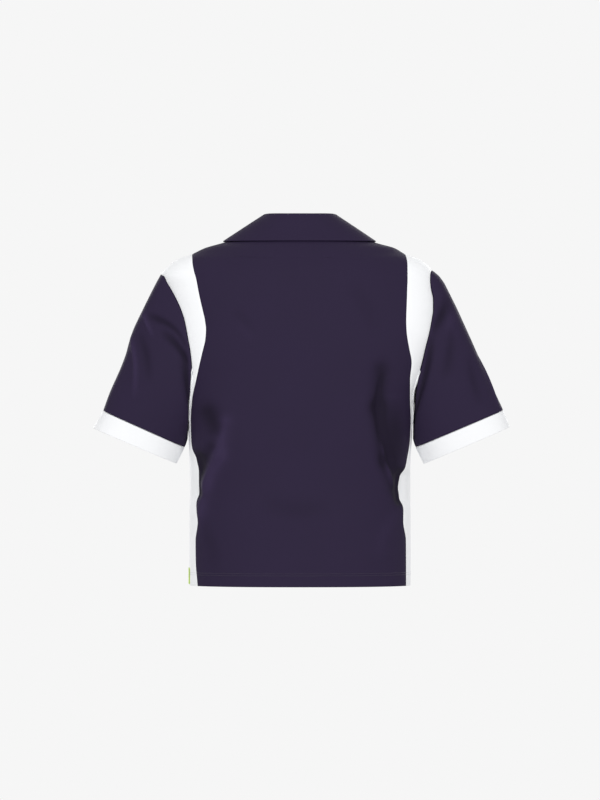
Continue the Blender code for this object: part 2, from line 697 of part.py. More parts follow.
def collar_half(side):
    """The three lines that shape half of the collar: the neck seam, the crest and the leaf's edge."""
    front_end = CREST_ROWS[-1].across
    half = BODY_COLUMNS // 2
    back_neck = spaced(neckline(BACK), BODY_COLUMNS)[half::-side][: half + 1]
    front_neck = spaced(neckline(FRONT, side * NECK_HALF, side * SLOT_HALF), half - 1)
    front_neck = [*front_neck, neckline(FRONT, side * front_end, 0.0)[0]]
    neck = np.array([bare_point(*place) for place in (*back_neck, *front_neck[1:])])
    halves = []
    for start in (0.0, 1.0):
        stations = np.linspace(start, start + 1.0, CURVE_STEPS)
        halves.append([np.array([read(s) for read in crest]) * (side, 1, 1) for s in stations])
    top = collar_line(*halves)
    turns = np.linspace(0.0, 90.0, CURVE_STEPS)
    back_edge = [body_point(side * turn, LEAF_HEIGHT, LEAF_CLEARANCE) for turn in turns]
    heights = LEAF_HEIGHT + (LEAF_ROWS[-1].height - LEAF_HEIGHT) * np.linspace(0.0, 1.0, CURVE_STEPS) ** 2
    places = [(angle_at(side, FRONT, leaf_across(z), z), z) for z in heights]
    front_edge = [body_point(*place, LEAF_CLEARANCE) for place in places]
    return neck, top, collar_line(back_edge, front_edge)


def kept_in_front(point):
    """The point, moved forward where it would touch the front or the stand."""
    height = min(point[2], NECK_TOP)
    side = LEFT if point[0] >= 0 else RIGHT
    power = squareness(height)
    share = max(1 - (abs(point[0]) / half_width[side](height)) ** power, 0.0) ** (1 / power)
    front = -half_depth[FRONT](height) * share - LEAF_FRONT_CLEARANCE
    return np.array((point[0], min(point[1], front), point[2])) if point[1] < 0 else point


def collar_section(neck, top, edge, along):
    """One section of the collar: up the stand, over the crest and down the leaf."""
    to_edge = edge - top
    to_neck = neck - top
    to_edge_flat = unit(to_edge - along * np.dot(to_edge, along))
    to_neck_flat = unit(to_neck - along * np.dot(to_neck, along))
    up = -unit(to_edge_flat + to_neck_flat)
    out = unit(to_edge_flat - to_neck_flat)
    arc = []
    for turn in np.radians(np.linspace(180.0, 0.0, CREST_STEPS)):
        arc.append(top + CREST_RADIUS * (math.cos(turn) * out + (math.sin(turn) - 1) * up))
    base = neck + COLLAR_LIFT * unit(arc[0] - neck)
    stand = [base, (base + arc[0]) / 2]
    leaf = []
    for share in LEAF_SHARES:
        bow = LEAF_BOW * math.sin(math.pi * share)
        leaf.append(kept_in_front(arc[-1] * (1 - share) + edge * share + bow * up))
    return [*stand, *arc, *leaf, edge]


def collar_grid():
    halves = {side: collar_half(side) for side in (LEFT, RIGHT)}
    lines = [np.concatenate((halves[LEFT][i][::-1], halves[RIGHT][i][1:])) for i in range(3)]
    along = np.gradient(lines[1], axis=0)
    return np.array([collar_section(*points) for points in zip(*lines, map(unit, along))])


# ---- Meshes ----


def materials():
    made = {}
    for name, colour, roughness in (
        ("navy_jersey", NAVY, NAVY_ROUGHNESS),
        ("white_jersey", WHITE, WHITE_ROUGHNESS),
        ("lime_jersey", LIME, LIME_ROUGHNESS),
        ("button_plastic", BUTTON_NAVY, BUTTON_ROUGHNESS),
    ):
        material = bpy.data.materials.new(name)
        material.use_nodes = True
        shader = material.node_tree.nodes["Principled BSDF"]
        shader.inputs["Base Color"].default_value = (*colour, 1.0)
        shader.inputs["Roughness"].default_value = roughness
        shader.inputs["Metallic"].default_value = 0.0
        made[name] = material
    return made


def pull_back(mesh, gap):
    """Moves the open edges in along the cloth, to leave room for the seam."""
    pulls = {}
    for edge in mesh.edges:
        if not edge.is_boundary:
            continue
        face = edge.link_faces[0]
        pull = face.normal.cross(edge.verts[1].co - edge.verts[0].co).normalized()
        if pull.dot(face.calc_center_median() - edge.verts[0].co) < 0:
            pull.negate()
        for vert in edge.verts:
            pulls.setdefault(vert, []).append(pull)
    for vert, (first, second) in pulls.items():
        vert.co += gap * (first + second) / (1 + first.dot(second))


def cloth(name, grids, thickness, material, parts, closed=False, skip=(), inward=-1.0):
    """A piece of cloth: an open surface of one or more grids of points, given its thickness inwards."""
    mesh = bmesh.new()
    for grid in grids:
        verts = [[mesh.verts.new(np.array(point) * MM) for point in row] for row in grid]
        columns = len(verts[0])
        for row in range(len(verts) - 1):
            for column in range(columns if closed else columns - 1):
                if (row, column) in skip:
                    continue
                after = (column + 1) % columns
                lower, upper = verts[row], verts[row + 1]
                mesh.faces.new((lower[column], lower[after], upper[after], upper[column]))
    loose = [vert for vert in mesh.verts if not vert.link_faces]
    bmesh.ops.delete(mesh, geom=loose, context="VERTS")
    bmesh.ops.remove_doubles(mesh, verts=mesh.verts, dist=WELD)
    bmesh.ops.recalc_face_normals(mesh, faces=mesh.faces)
    return finish_cloth(name, mesh, thickness, material, parts, inward)


def faces_out(mesh):
    """Whether most of the surface faces away from the shirt's middle line, or from its own middle."""
    centres = [face.calc_center_median() for face in mesh.faces]
    middle = sum(centres[1:], start=centres[0]) / len(centres)
    total = 0.0
    for face, centre in zip(mesh.faces, centres):
        total += face.normal.dot(centre - middle) * face.calc_area()
    return total > 0


def finish_cloth(name, mesh, thickness, material, parts, inward):
    mesh.normal_update()
    if not faces_out(mesh):
        bmesh.ops.reverse_faces(mesh, faces=mesh.faces)
        mesh.normal_update()
    pull_back(mesh, SEAM / 2 * MM)
    data = bpy.data.meshes.new(name)
    mesh.to_mesh(data)
    mesh.free()
    piece = bpy.data.objects.new(name, data)
    data.materials.append(material)
    parts.objects.link(piece)
    shell = piece.modifiers.new("thickness", "SOLIDIFY")
    shell.thickness = thickness * MM
    shell.offset = inward
    data.shade_smooth()
    data.set_sharp_from_angle(angle=math.radians(CREASE_ANGLE))
    return piece


def band_rows():
    """Rows of the front that the slot takes, and its heights at the slot's sides and at the centre."""
    grid = front_grid()
    middle = grid.shape[1] // 2
    centre = grid[:, middle, 1]
    first = int(np.argmin(abs(centre - SLOT_BOTTOM)))
    return grid, middle, first


def band_grid(out):
    """A placket band: the front's own points round the slot, moved out."""
    grid, middle, first = band_rows()
    edge = SLOT_HALF + BAND_LAP
    rows = []
    for index in range(first - 1, len(grid)):
        tail = index < first
        source = grid[first] if tail else grid[index]
        drop = BAND_TAIL if tail else 0.0
        side_height, centre_height = source[middle - 1][1] - drop, source[middle][1] - drop
        edge_height = neck_height(edge, FRONT) if index == len(grid) - 1 else side_height
        places = [(edge, edge_height), (SLOT_HALF, side_height), (0.0, centre_height)]
        places += [(-across, height) for across, height in places[1::-1]]
        rows.append([slot_line(across, [height])[0] for across, height in places])
    return on_body(rows, out)


def make_placket(parts, colours):
    """The two bands of the opening; gives how far the outer face of the over band stands off the front."""
    over = band_grid(BAND_LIFT + BAND_CLOTH)
    under = band_grid(-CLOTH - BAND_LIFT)
    cloth("placket_over", [over], BAND_CLOTH, colours["navy_jersey"], parts)
    cloth("placket_under", [under], CLOTH, colours["navy_jersey"], parts)
    return BAND_LIFT + BAND_CLOTH


def make_button_mesh():
    """Half a button's outline, to be turned round, and the pins that cut its four holes."""
    data = bpy.data.meshes.new("button")
    mesh = bmesh.new()
    verts = [mesh.verts.new((x * MM, 0.0, z * MM)) for x, z in BUTTON_PROFILE]
    for first, second in zip(verts, verts[1:]):
        mesh.edges.new((first, second))
    mesh.to_mesh(data)
    mesh.free()
    holes = bpy.data.meshes.new("button_holes")
    mesh = bmesh.new()
    for x in (-BUTTON_HOLE_OFFSET, BUTTON_HOLE_OFFSET):
        for y in (-BUTTON_HOLE_OFFSET, BUTTON_HOLE_OFFSET):
            made = bmesh.ops.create_cone(
                mesh,
                cap_ends=True,
                segments=BUTTON_HOLE_SIDES,
                radius1=BUTTON_HOLE_RADIUS * MM,
                radius2=BUTTON_HOLE_RADIUS * MM,
                depth=2 * BUTTON_RADIUS * MM,
            )
            bmesh.ops.translate(mesh, verts=made["verts"], vec=(x * MM, y * MM, 0.0))
    mesh.to_mesh(holes)
    mesh.free()
    return data, holes


def make_buttons(parts, cutters, colours, band_face):
    body, holes = make_button_mesh()
    body.materials.append(colours["button_plastic"])
    for number, height in enumerate(BUTTON_HEIGHTS, start=1):
        normal = outward(180.0, height)
        spot = bare_point(180.0, height) + normal * (band_face + SEAM + BUTTON_UNDERSIDE)
        tilt = math.atan2(normal[2], -normal[1])
        button = bpy.data.objects.new(f"button_{number}", body)
        cutter = bpy.data.objects.new(f"button_{number}_holes", holes)
        button.location = spot * MM
        button.rotation_euler = (math.radians(90) - tilt, 0.0, 0.0)
        cutter.parent = button
        cutter.hide_render = True
        cutter.display_type = "WIRE"
        parts.objects.link(button)
        cutters.objects.link(cutter)
        turned = button.modifiers.new("turned", "SCREW")
        turned.axis = "Z"
        turned.steps = turned.render_steps = BUTTON_STEPS
        turned.use_merge_vertices = True
        turned.merge_threshold = WELD
        drilled = button.modifiers.new("drilled", "BOOLEAN")
        drilled.operation = "DIFFERENCE"
        drilled.solver = "EXACT"
        drilled.object = cutter


def make_tab(parts, colours):
    heights = np.linspace(TAB_BOTTOM, TAB_BOTTOM + TAB_HEIGHT, TAB_ROWS + 1)
    grid = []
    for height in heights:
        row = []
        for depth in TAB_DEPTHS:
            face = BACK if depth >= 0 else FRONT
            ratio = abs(depth) / half_depth[face](height)
            turn = math.degrees(math.acos(ratio ** (squareness(height) / 2)))
            row.append((turn if face == BACK else 180 - turn, height))
        grid.append(row)
    cloth("side_tab", [on_body(grid, SEAM + TAB_CLOTH)], TAB_CLOTH, colours["lime_jersey"], parts)


def clear_scene():
    for item in list(bpy.data.objects):
        bpy.data.objects.remove(item, do_unlink=True)


def main():
    clear_scene()
    parts = bpy.data.collections.new("polo_shirt")
    cutters = bpy.data.collections.new("cutters")
    bpy.context.scene.collection.children.link(parts)
    bpy.context.scene.collection.children.link(cutters)
    colours = materials()
    navy, white = colours["navy_jersey"], colours["white_jersey"]

    cloth("back", [on_body(back_grid())], CLOTH, navy, parts)
    grid, middle, first = band_rows()
    slot = {(row, column) for row in range(first, len(grid) - 1) for column in (middle - 1, middle)}
    cloth("front", [on_body(grid)], CLOTH, navy, parts, skip=slot)
    for side, word in ((LEFT, "left"), (RIGHT, "right")):
        cloth(f"side_panel_{word}", [on_body(part) for part in side_grids(side)], CLOTH, white, parts)
        cloth(f"sleeve_{word}", [sleeve_rings(side)], CLOTH, navy, parts, closed=True)
        cloth(f"cuff_{word}", [cuff_rings(side)], CUFF_CLOTH, white, parts, closed=True)
    cloth("collar", [collar_grid()], COLLAR_CLOTH, navy, parts, inward=0.0)
    band_face = make_placket(parts, colours)
    make_buttons(parts, cutters, colours, band_face)
    make_tab(parts, colours)


main()
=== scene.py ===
import math
from collections import namedtuple

import bmesh
import bpy
import numpy as np
from mathutils import Matrix, Vector, kdtree


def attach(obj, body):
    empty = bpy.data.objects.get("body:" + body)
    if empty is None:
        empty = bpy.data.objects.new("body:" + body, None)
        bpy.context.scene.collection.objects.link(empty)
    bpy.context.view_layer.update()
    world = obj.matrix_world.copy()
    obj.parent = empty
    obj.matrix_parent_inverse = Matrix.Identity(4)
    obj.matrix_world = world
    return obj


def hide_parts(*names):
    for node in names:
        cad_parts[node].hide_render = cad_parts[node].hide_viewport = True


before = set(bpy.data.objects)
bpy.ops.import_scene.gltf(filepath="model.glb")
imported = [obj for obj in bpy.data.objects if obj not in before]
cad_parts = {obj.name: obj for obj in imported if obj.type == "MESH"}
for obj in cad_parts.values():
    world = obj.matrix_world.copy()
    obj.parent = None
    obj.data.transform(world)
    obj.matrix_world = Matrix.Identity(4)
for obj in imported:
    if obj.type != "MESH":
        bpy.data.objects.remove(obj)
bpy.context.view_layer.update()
print("frame loaded:", len(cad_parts), "nodes")

mm = 0.001
wearerLeft, wearerRight = 1, -1
backFace, frontFace = 1, -1
sideWords = {wearerLeft: "left", wearerRight: "right"}

# a place on the body is an angle (0 back, 90 wearer's left, 180 front) and a height, in mm
torso = {
    "hem": -513.0,
    "corner": -190.5,  # where the armhole turns under the arm
    "underarm": -228.0,
    "join": -16.5,  # where the curved seams meet the shoulder seam
    "neckTop": 13.5,
    "neckHalf": 68.0,
    "neckDrop": {backFace: 9.5, frontFace: 88.5},
    "neckPower": 2.2,
    "shoulderTip": {wearerLeft: -46.5, wearerRight: -40.5},
    "joinDrop": 0.3,
    "curveSteps": 400,
    "normalStep": 0.5,
    "rows": 118,
    "armholeRows": 62,
    "shoulderRows": 36,
    "columns": 118,
    "legColumns": 16,
    "underarmColumns": 26,
    "strip": 0.4,  # share of the first and last cells that the rolled edge takes
    "cloth": 1.2,
    "seam": 0.16,
}

Section = namedtuple("Section", "height left right back front squareness")
sections = (
    Section(13.5, 68.0, 68.0, 50.0, 30.0, 2.0),
    Section(-1.5, 121.5, 120.0, 66.0, 43.0, 2.0),
    Section(-7.5, 142.4, 141.5, 71.5, 47.0, 2.05),
    Section(-16.5, 161.6, 157.5, 78.0, 52.0, 2.1),
    Section(-24.5, 183.0, 178.5, 81.5, 57.0, 2.15),
    Section(-33.0, 195.5, 191.0, 85.0, 61.5, 2.2),
    Section(-40.5, 203.5, 197.5, 87.5, 65.0, 2.25),
    Section(-46.5, 208.5, 201.0, 89.0, 67.0, 2.3),
    Section(-70.0, 201.0, 205.0, 93.5, 77.0, 2.3),
    Section(-100.0, 193.3, 209.0, 98.0, 87.0, 2.3),
    Section(-130.0, 189.0, 208.0, 101.5, 96.0, 2.3),
    Section(-160.0, 185.2, 201.0, 104.0, 104.0, 2.3),
    Section(-190.0, 180.8, 191.0, 105.0, 110.0, 2.3),
    Section(-210.0, 176.0, 181.5, 105.0, 113.0, 2.4),
    Section(-228.0, 172.0, 173.5, 105.0, 115.0, 2.5),
    Section(-250.0, 169.5, 170.5, 104.5, 117.0, 2.7),
    Section(-290.0, 167.0, 168.0, 103.0, 117.5, 2.8),
    Section(-325.0, 166.0, 166.0, 102.0, 116.5, 2.6),
    Section(-360.0, 165.5, 165.5, 102.0, 115.5, 2.4),
    Section(-420.0, 166.0, 166.0, 104.0, 114.5, 2.4),
    Section(-513.0, 166.0, 166.0, 107.0, 114.0, 2.4),
)

# how far each curved seam stands from the middle
SeamRow = namedtuple("SeamRow", "height backLeft backRight frontLeft frontRight")
seamRows = (
    SeamRow(-16.5, 161.6, 157.5, 161.6, 157.5),
    SeamRow(-24.0, 161.0, 159.4, 159.0, 156.8),
    SeamRow(-31.5, 160.4, 160.4, 157.0, 155.8),
    SeamRow(-43.5, 158.0, 160.4, 154.5, 154.0),
    SeamRow(-55.5, 154.7, 160.4, 153.0, 153.0),
    SeamRow(-70.0, 152.0, 159.8, 150.5, 150.5),
    SeamRow(-85.5, 148.8, 159.3, 148.0, 148.0),
    SeamRow(-100.5, 145.3, 158.7, 146.5, 146.5),
    SeamRow(-115.5, 141.8, 158.2, 145.5, 145.5),
    SeamRow(-130.5, 140.0, 158.6, 145.5, 145.5),
    SeamRow(-145.5, 141.0, 160.3, 146.5, 146.5),
    SeamRow(-160.5, 144.5, 163.2, 148.0, 148.0),
    SeamRow(-180.0, 149.3, 166.6, 151.0, 151.0),
    SeamRow(-205.5, 155.0, 164.4, 155.0, 155.0),
    SeamRow(-235.5, 161.5, 164.8, 159.0, 159.0),
    SeamRow(-265.5, 163.7, 166.0, 161.0, 161.0),
    SeamRow(-295.5, 162.9, 165.0, 160.0, 160.0),
    SeamRow(-325.5, 158.5, 160.6, 157.0, 157.0),
    SeamRow(-340.5, 156.5, 158.0, 155.0, 155.0),
    SeamRow(-357.0, 155.0, 156.0, 153.5, 153.5),
    SeamRow(-370.5, 154.5, 155.0, 152.5, 152.5),
    SeamRow(-385.5, 154.5, 155.2, 152.0, 152.0),
    SeamRow(-415.5, 152.6, 154.4, 151.0, 151.0),
    SeamRow(-445.5, 156.3, 158.6, 151.0, 151.0),
    SeamRow(-475.0, 156.0, 158.8, 151.5, 151.5),
    SeamRow(-513.0, 153.0, 158.8, 152.0, 152.0),
)

ArmholeRow = namedtuple("ArmholeRow", "height left right")
armholeRows = (
    ArmholeRow(-40.5, 208.5, 197.5),
    ArmholeRow(-46.5, 208.5, 195.3),
    ArmholeRow(-49.5, 203.9, 195.0),
    ArmholeRow(-55.5, 201.0, 194.7),
    ArmholeRow(-67.5, 193.8, 195.6),
    ArmholeRow(-85.5, 184.4, 199.0),
    ArmholeRow(-100.5, 177.6, 199.0),
    ArmholeRow(-115.5, 172.5, 196.8),
    ArmholeRow(-130.5, 169.3, 194.0),
    ArmholeRow(-145.5, 166.6, 190.5),
    ArmholeRow(-160.5, 163.8, 186.6),
    ArmholeRow(-175.5, 161.9, 183.2),
    ArmholeRow(-190.5, 160.8, 179.4),
)

# the large folds: ridges (+) and troughs (-) along a line
Fold = namedtuple("Fold", "face across height toAcross toHeight reach relief")
folds = (
    Fold(backFace, 138.0, -254.0, 126.0, -276.0, 15.0, -3.0),
    Fold(backFace, 112.0, -268.0, 121.0, -318.0, 11.0, 2.5),
    Fold(backFace, 121.0, -318.0, 141.0, -360.0, 11.0, 3.0),
    Fold(backFace, 141.0, -360.0, 147.0, -402.0, 10.0, 2.0),
    Fold(backFace, 132.0, -306.0, 148.0, -338.0, 9.0, -2.5),
    Fold(backFace, -121.0, -190.0, -117.0, -246.0, 12.0, -2.5),
    Fold(backFace, -117.0, -246.0, -130.0, -325.0, 12.0, -4.0),
    Fold(backFace, -130.0, -325.0, -144.0, -368.0, 11.0, -3.0),
    Fold(backFace, 154.0, -322.0, 152.0, -374.0, 9.0, -5.5),
    Fold(backFace, -154.0, -350.0, -152.0, -382.0, 9.0, -8.5),
    Fold(frontFace, 132.0, -205.0, 118.0, -262.0, 13.0, -3.0),
    Fold(frontFace, 118.0, -262.0, 126.0, -330.0, 12.0, -2.5),
    Fold(frontFace, -134.0, -208.0, -121.0, -270.0, 13.0, -3.0),
    Fold(frontFace, -121.0, -270.0, -131.0, -345.0, 12.0, -2.0),
)

# the finer creases, each a bent line through three places that fades out at both ends
Crease = namedtuple("Crease", "start middle end reach relief lean")
bodyCreases = {
    backFace: (
        Crease((-126.0, -190.0), (-115.0, -250.0), (-130.0, -322.0), 5.0, -2.2, 0.7),
        Crease((-140.0, -232.0), (-146.0, -290.0), (-150.0, -350.0), 13.0, -2.6, 0.0),
        Crease((-121.0, -288.0), (-130.0, -332.0), (-143.0, -368.0), 3.6, 4.4, 0.0),
        Crease((-140.0, -330.0), (-150.0, -352.0), (-154.0, -372.0), 6.0, -1.6, 0.0),
        Crease((110.0, -262.0), (117.0, -300.0), (128.0, -332.0), 4.5, 1.0, -0.4),
        Crease((118.0, -316.0), (137.0, -352.0), (148.0, -396.0), 5.0, 1.3, -0.6),
        Crease((142.0, -368.0), (148.0, -410.0), (146.0, -452.0), 4.5, 0.9, 0.0),
        Crease((101.0, -100.0), (84.0, -116.0), (66.0, -135.0), 7.0, -0.5, 0.0),
        Crease((96.0, -118.0), (82.0, -134.0), (70.0, -152.0), 7.0, 0.4, 0.0),
        Crease((-70.0, -60.0), (-96.0, -92.0), (-112.0, -140.0), 12.0, -0.5, 0.0),
        Crease((60.0, -384.0), (10.0, -398.0), (-48.0, -392.0), 14.0, -0.7, 0.0),
        Crease((-152.0, -400.0), (-128.0, -430.0), (-118.0, -480.0), 9.0, 0.7, 0.0),
        Crease((150.0, -420.0), (132.0, -452.0), (128.0, -500.0), 10.0, -0.7, 0.0),
    ),
    frontFace: (
        Crease((128.0, -190.0), (116.0, -244.0), (126.0, -318.0), 5.0, -1.6, 0.6),
        Crease((-128.0, -188.0), (-117.0, -250.0), (-130.0, -330.0), 5.0, -1.8, -0.6),
        Crease((110.0, -270.0), (122.0, -312.0), (142.0, -352.0), 4.5, 1.1, 0.0),
        Crease((-112.0, -278.0), (-126.0, -322.0), (-146.0, -362.0), 4.5, 1.2, 0.0),
        Crease((92.0, -96.0), (74.0, -122.0), (60.0, -160.0), 9.0, -0.6, 0.0),
        Crease((-94.0, -92.0), (-78.0, -126.0), (-62.0, -158.0), 9.0, -0.6, 0.0),
        Crease((24.0, -232.0), (36.0, -272.0), (30.0, -330.0), 11.0, 0.8, 0.0),
        Crease((-22.0, -236.0), (-38.0, -290.0), (-34.0, -352.0), 12.0, -0.8, 0.0),
        Crease((70.0, -396.0), (12.0, -410.0), (-58.0, -402.0), 14.0, -0.7, 0.0),
        Crease((146.0, -410.0), (130.0, -446.0), (124.0, -496.0), 10.0, 0.7, 0.0),
        Crease((-150.0, -392.0), (-130.0, -440.0), (-126.0, -498.0), 10.0, 0.7, 0.0),
    ),
}


class Column:
    # a smooth curve through one column of a table, which never overshoots its rows
    def __init__(self, rows, name):
        ordered = sorted(rows)
        self.places = np.array([row[0] for row in ordered])
        self.values = np.array([getattr(row, name) for row in ordered])
        steps = np.diff(self.values) / np.diff(self.places)
        inner = [2 * a * b / (a + b) if a * b > 0 else 0.0 for a, b in zip(steps, steps[1:])]
        self.slopes = np.array([steps[0], *inner, steps[-1]])

    def __call__(self, place):
        place = np.clip(place, self.places[0], self.places[-1])
        low = np.clip(np.searchsorted(self.places, place, side="right"), 1, len(self.places) - 1) - 1
        span = self.places[low + 1] - self.places[low]
        t = (place - self.places[low]) / span
        ends = self.values[low] * (1 + 2 * t) * (1 - t) ** 2 + self.values[low + 1] * t**2 * (3 - 2 * t)
        return ends + span * t * (1 - t) * (self.slopes[low] * (1 - t) - self.slopes[low + 1] * t)


halfWidth = {wearerLeft: Column(sections, "left"), wearerRight: Column(sections, "right")}
halfDepth = {backFace: Column(sections, "back"), frontFace: Column(sections, "front")}
squareness = Column(sections, "squareness")
seamAcross = {
    (backFace, wearerLeft): Column(seamRows, "backLeft"),
    (backFace, wearerRight): Column(seamRows, "backRight"),
    (frontFace, wearerLeft): Column(seamRows, "frontLeft"),
    (frontFace, wearerRight): Column(seamRows, "frontRight"),
}
armholeAcross = {wearerLeft: Column(armholeRows, "left"), wearerRight: Column(armholeRows, "right")}


def unit(vectors):
    return vectors / np.linalg.norm(vectors, axis=-1, keepdims=True)


def pairUp(first, second):
    return np.stack(np.broadcast_arrays(first, second), axis=-1)


def formPoints(places):
    angle = (places[..., 0] + 180) % 360 - 180
    height = places[..., 1]
    turn = np.radians(abs(angle))
    onLeft, onBack = angle >= 0, abs(angle) <= 90
    width = np.where(onLeft, halfWidth[wearerLeft](height), -halfWidth[wearerRight](height))
    depth = np.where(onBack, halfDepth[backFace](height), -halfDepth[frontFace](height))
    power = 2 / squareness(height)
    across = width * abs(np.sin(turn)) ** power
    along = depth * abs(np.cos(turn)) ** power
    return np.stack((across, along, height), axis=-1)


def outwardAt(places):
    step = torso["normalStep"]
    around = formPoints(places + (step, 0)) - formPoints(places - (step, 0))
    above = np.minimum(places[..., 1] + step, torso["neckTop"])
    raised = formPoints(pairUp(places[..., 0], above)) - formPoints(places - (0, step))
    straight = unit(np.cross(raised, around))
    turn = np.radians(places[..., 0])
    away = np.stack((np.sin(turn), np.cos(turn), np.ones_like(turn)), axis=-1)
    return straight * np.sign((straight * away).sum(axis=-1, keepdims=True))


def angleAt(side, face, across, height):
    ratio = np.minimum(across / halfWidth[side](height), 1.0)
    turn = np.degrees(np.arcsin(ratio ** (squareness(height) / 2)))
    return side * (turn if face == backFace else 180 - turn)


def placeAt(face, across, height):
    across, height = np.broadcast_arrays(across, height)
    left = angleAt(wearerLeft, face, abs(across), height)
    right = angleAt(wearerRight, face, abs(across), height)
    angle = np.where(across >= 0, left, right)
    return pairUp(angle if face == backFace else angle % 360, height)


def knots(count, start=True, end=True):
    # even steps from 0 to 1, with the first and the last step split for the rolled edge
    split = torso["strip"] / count
    extra = [split] * start + [1 - split] * end
    return np.sort(np.concatenate((np.linspace(0.0, 1.0, count + 1), extra)))


def arcLengths(points):
    steps = np.linalg.norm(np.diff(points, axis=0), axis=1)
    return np.concatenate(([0.0], np.cumsum(steps)))


def readAlong(wanted, lengths, values):
    return np.stack([np.interp(wanted, lengths, column) for column in values.T], axis=1)


def spacedPoints(points, shares):
    lengths = arcLengths(points)
    return readAlong(shares * lengths[-1], lengths, points)


def spaced(curve, shares):
    lengths = arcLengths(formPoints(curve))
    return readAlong(shares * lengths[-1], lengths, curve)


def goingUp(low, high):
    return low + (high - low) * (1 - np.linspace(1.0, 0.0, torso["curveSteps"]) ** 2)


def curvedSeam(side, face):
    # from the hem up to the corner, and from there to the shoulder
    across = seamAcross[face, side]
    stretches = []
    for low, high in ((torso["hem"], torso["corner"]), (torso["corner"], torso["join"])):
        heights = goingUp(low, high)
        stretches.append(pairUp(angleAt(side, face, across(heights), heights), heights))
    lower, upper = stretches
    upper[-1] = (side * 90.0, torso["join"])
    lower = spaced(lower, knots(torso["rows"], end=False))
    return lower, spaced(upper, np.linspace(0.0, 1.0, torso["armholeRows"] + 1))


def shoulderSeam(side):
    heights = np.linspace(torso["join"], torso["neckTop"], torso["curveSteps"])
    return spaced(pairUp(side * 90.0, heights), knots(torso["shoulderRows"], start=False))


def armholeSide(side, face):
    heights = goingUp(torso["corner"], torso["shoulderTip"][side])
    places = pairUp(angleAt(side, face, armholeAcross[side](heights), heights), heights)
    places[-1] = (side * 90.0, torso["shoulderTip"][side])
    return spaced(places, np.linspace(0.0, 1.0, torso["armholeRows"] + 1))


def underarm(side):
    corner = abs(armholeSide(side, backFace)[0][0])
    turns = np.linspace(0.0, math.pi, torso["curveSteps"])
    angles = side * (90.0 - (90.0 - corner) * np.cos(turns))
    heights = torso["corner"] - (torso["corner"] - torso["underarm"]) * np.sin(turns)
    return spaced(pairUp(angles, heights), np.linspace(0.0, 1.0, torso["underarmColumns"] + 1))


def neckHeight(across, face):
    inside = np.maximum(1 - (abs(across) / torso["neckHalf"]) ** torso["neckPower"], 0.0)
    return torso["neckTop"] - torso["neckDrop"][face] * inside ** (1 / torso["neckPower"])


def neckline(face, start, end):
    half = torso["neckHalf"]
    across = half * np.cos(np.linspace(math.acos(start / half), math.acos(end / half), torso["curveSteps"]))
    return placeAt(face, across, neckHeight(across, face))


def patch(bottom, top, left, right, rise, shares):
    # fills four edges; rise says how much each row follows the top edge
    across = shares[:, None]
    bendBottom = bottom - (bottom[0] * (1 - across) + bottom[-1] * across)
    bendTop = top - (top[0] * (1 - across) + top[-1] * across)
    rows = left[:, None] * (1 - across) + right[:, None] * across
    return rows + bendBottom * (1 - rise)[:, None, None] + bendTop * rise[:, None, None]


def panelPatch(face, bottom, top, left, right, rise, shares):
    flat = [pairUp(formPoints(edge)[:, 0], edge[:, 1]) for edge in (bottom, top, left, right)]
    rows = patch(*flat, rise, shares)
    grid = placeAt(face, rows[..., 0], rows[..., 1])
    grid[0], grid[-1], grid[:, 0], grid[:, -1] = bottom, top, left, right
    return grid


def level(start, end, shares):
    return pairUp(start + (end - start) * shares, torso["hem"])


def panelSide(side, face):
    lower, upper = curvedSeam(side, face)
    whole = np.concatenate((lower, upper[1:], shoulderSeam(side)[1:]))
    if face == frontFace:
        whole[:, 0] %= 360
    return whole


def panelRise():
    # nothing below the armhole's corner, then smoothly up to 1 at the neckline
    upperRows = torso["armholeRows"] + torso["shoulderRows"]
    split = 1 - torso["strip"]
    steps = [0.0] * (torso["rows"] + 2) + list(range(1, upperRows)) + [upperRows - 1 + split, upperRows]
    return np.sin(np.array(steps) / upperRows * math.pi / 2)


def backGrid():
    left, right = panelSide(wearerLeft, backFace), panelSide(wearerRight, backFace)
    shares = knots(torso["columns"])
    bottom = level(left[0][0], right[0][0], shares)
    top = spaced(neckline(backFace, torso["neckHalf"], -torso["neckHalf"]), shares)
    return panelPatch(backFace, bottom, top, left, right, panelRise(), shares)


placket = {
    "bevel": 0.4,
    "slotHalf": 12.5,
    "slotColumns": 10,
    "slotBottom": -214.0,
    "lap": 3.0,  # how far the bands reach past the slot
    "tail": 6.0,
    "lift": 0.35,
    "cloth": 1.4,
    "columns": 14,
    "rows": 64,
    "threadInset": 2.2,
    "boxTop": 22.0,  # the stitched box at the foot of the band
    "flat": (0.031, 0.145),
}


def frontGrid():
    # the left strip, the strip of the placket's slot, and the right strip
    left, right = panelSide(wearerLeft, frontFace), panelSide(wearerRight, frontFace)
    rise = panelRise()
    lowRows = torso["rows"] + 2
    way = arcLengths(formPoints(left[lowRows - 1:]))

    def middleLine(across):
        top = neckHeight(across, frontFace)
        upper = torso["corner"] + (top - torso["corner"]) * way / way[-1]
        return placeAt(frontFace, across, np.concatenate((left[:lowRows - 1, 1], upper)))

    half = placket["slotHalf"]
    lines = [middleLine(x) for x in np.linspace(half, -half, placket["slotColumns"] + 1)]
    count = (torso["columns"] - placket["slotColumns"]) // 2

    def strip(first, last, neckFrom, neckTo, shares):
        bottom = level(first[0][0], last[0][0], shares)
        top = spaced(neckline(frontFace, neckFrom, neckTo), shares)
        return panelPatch(frontFace, bottom, top, first, last, rise, shares)

    leftStrip = strip(left, lines[0], torso["neckHalf"], half, knots(count, end=False))
    rightStrip = strip(lines[-1], right, -half, -torso["neckHalf"], knots(count, start=False))
    middle = np.stack(lines[1:-1], axis=1)
    return np.concatenate((leftStrip, middle, rightStrip), axis=1), leftStrip.shape[1] - 1


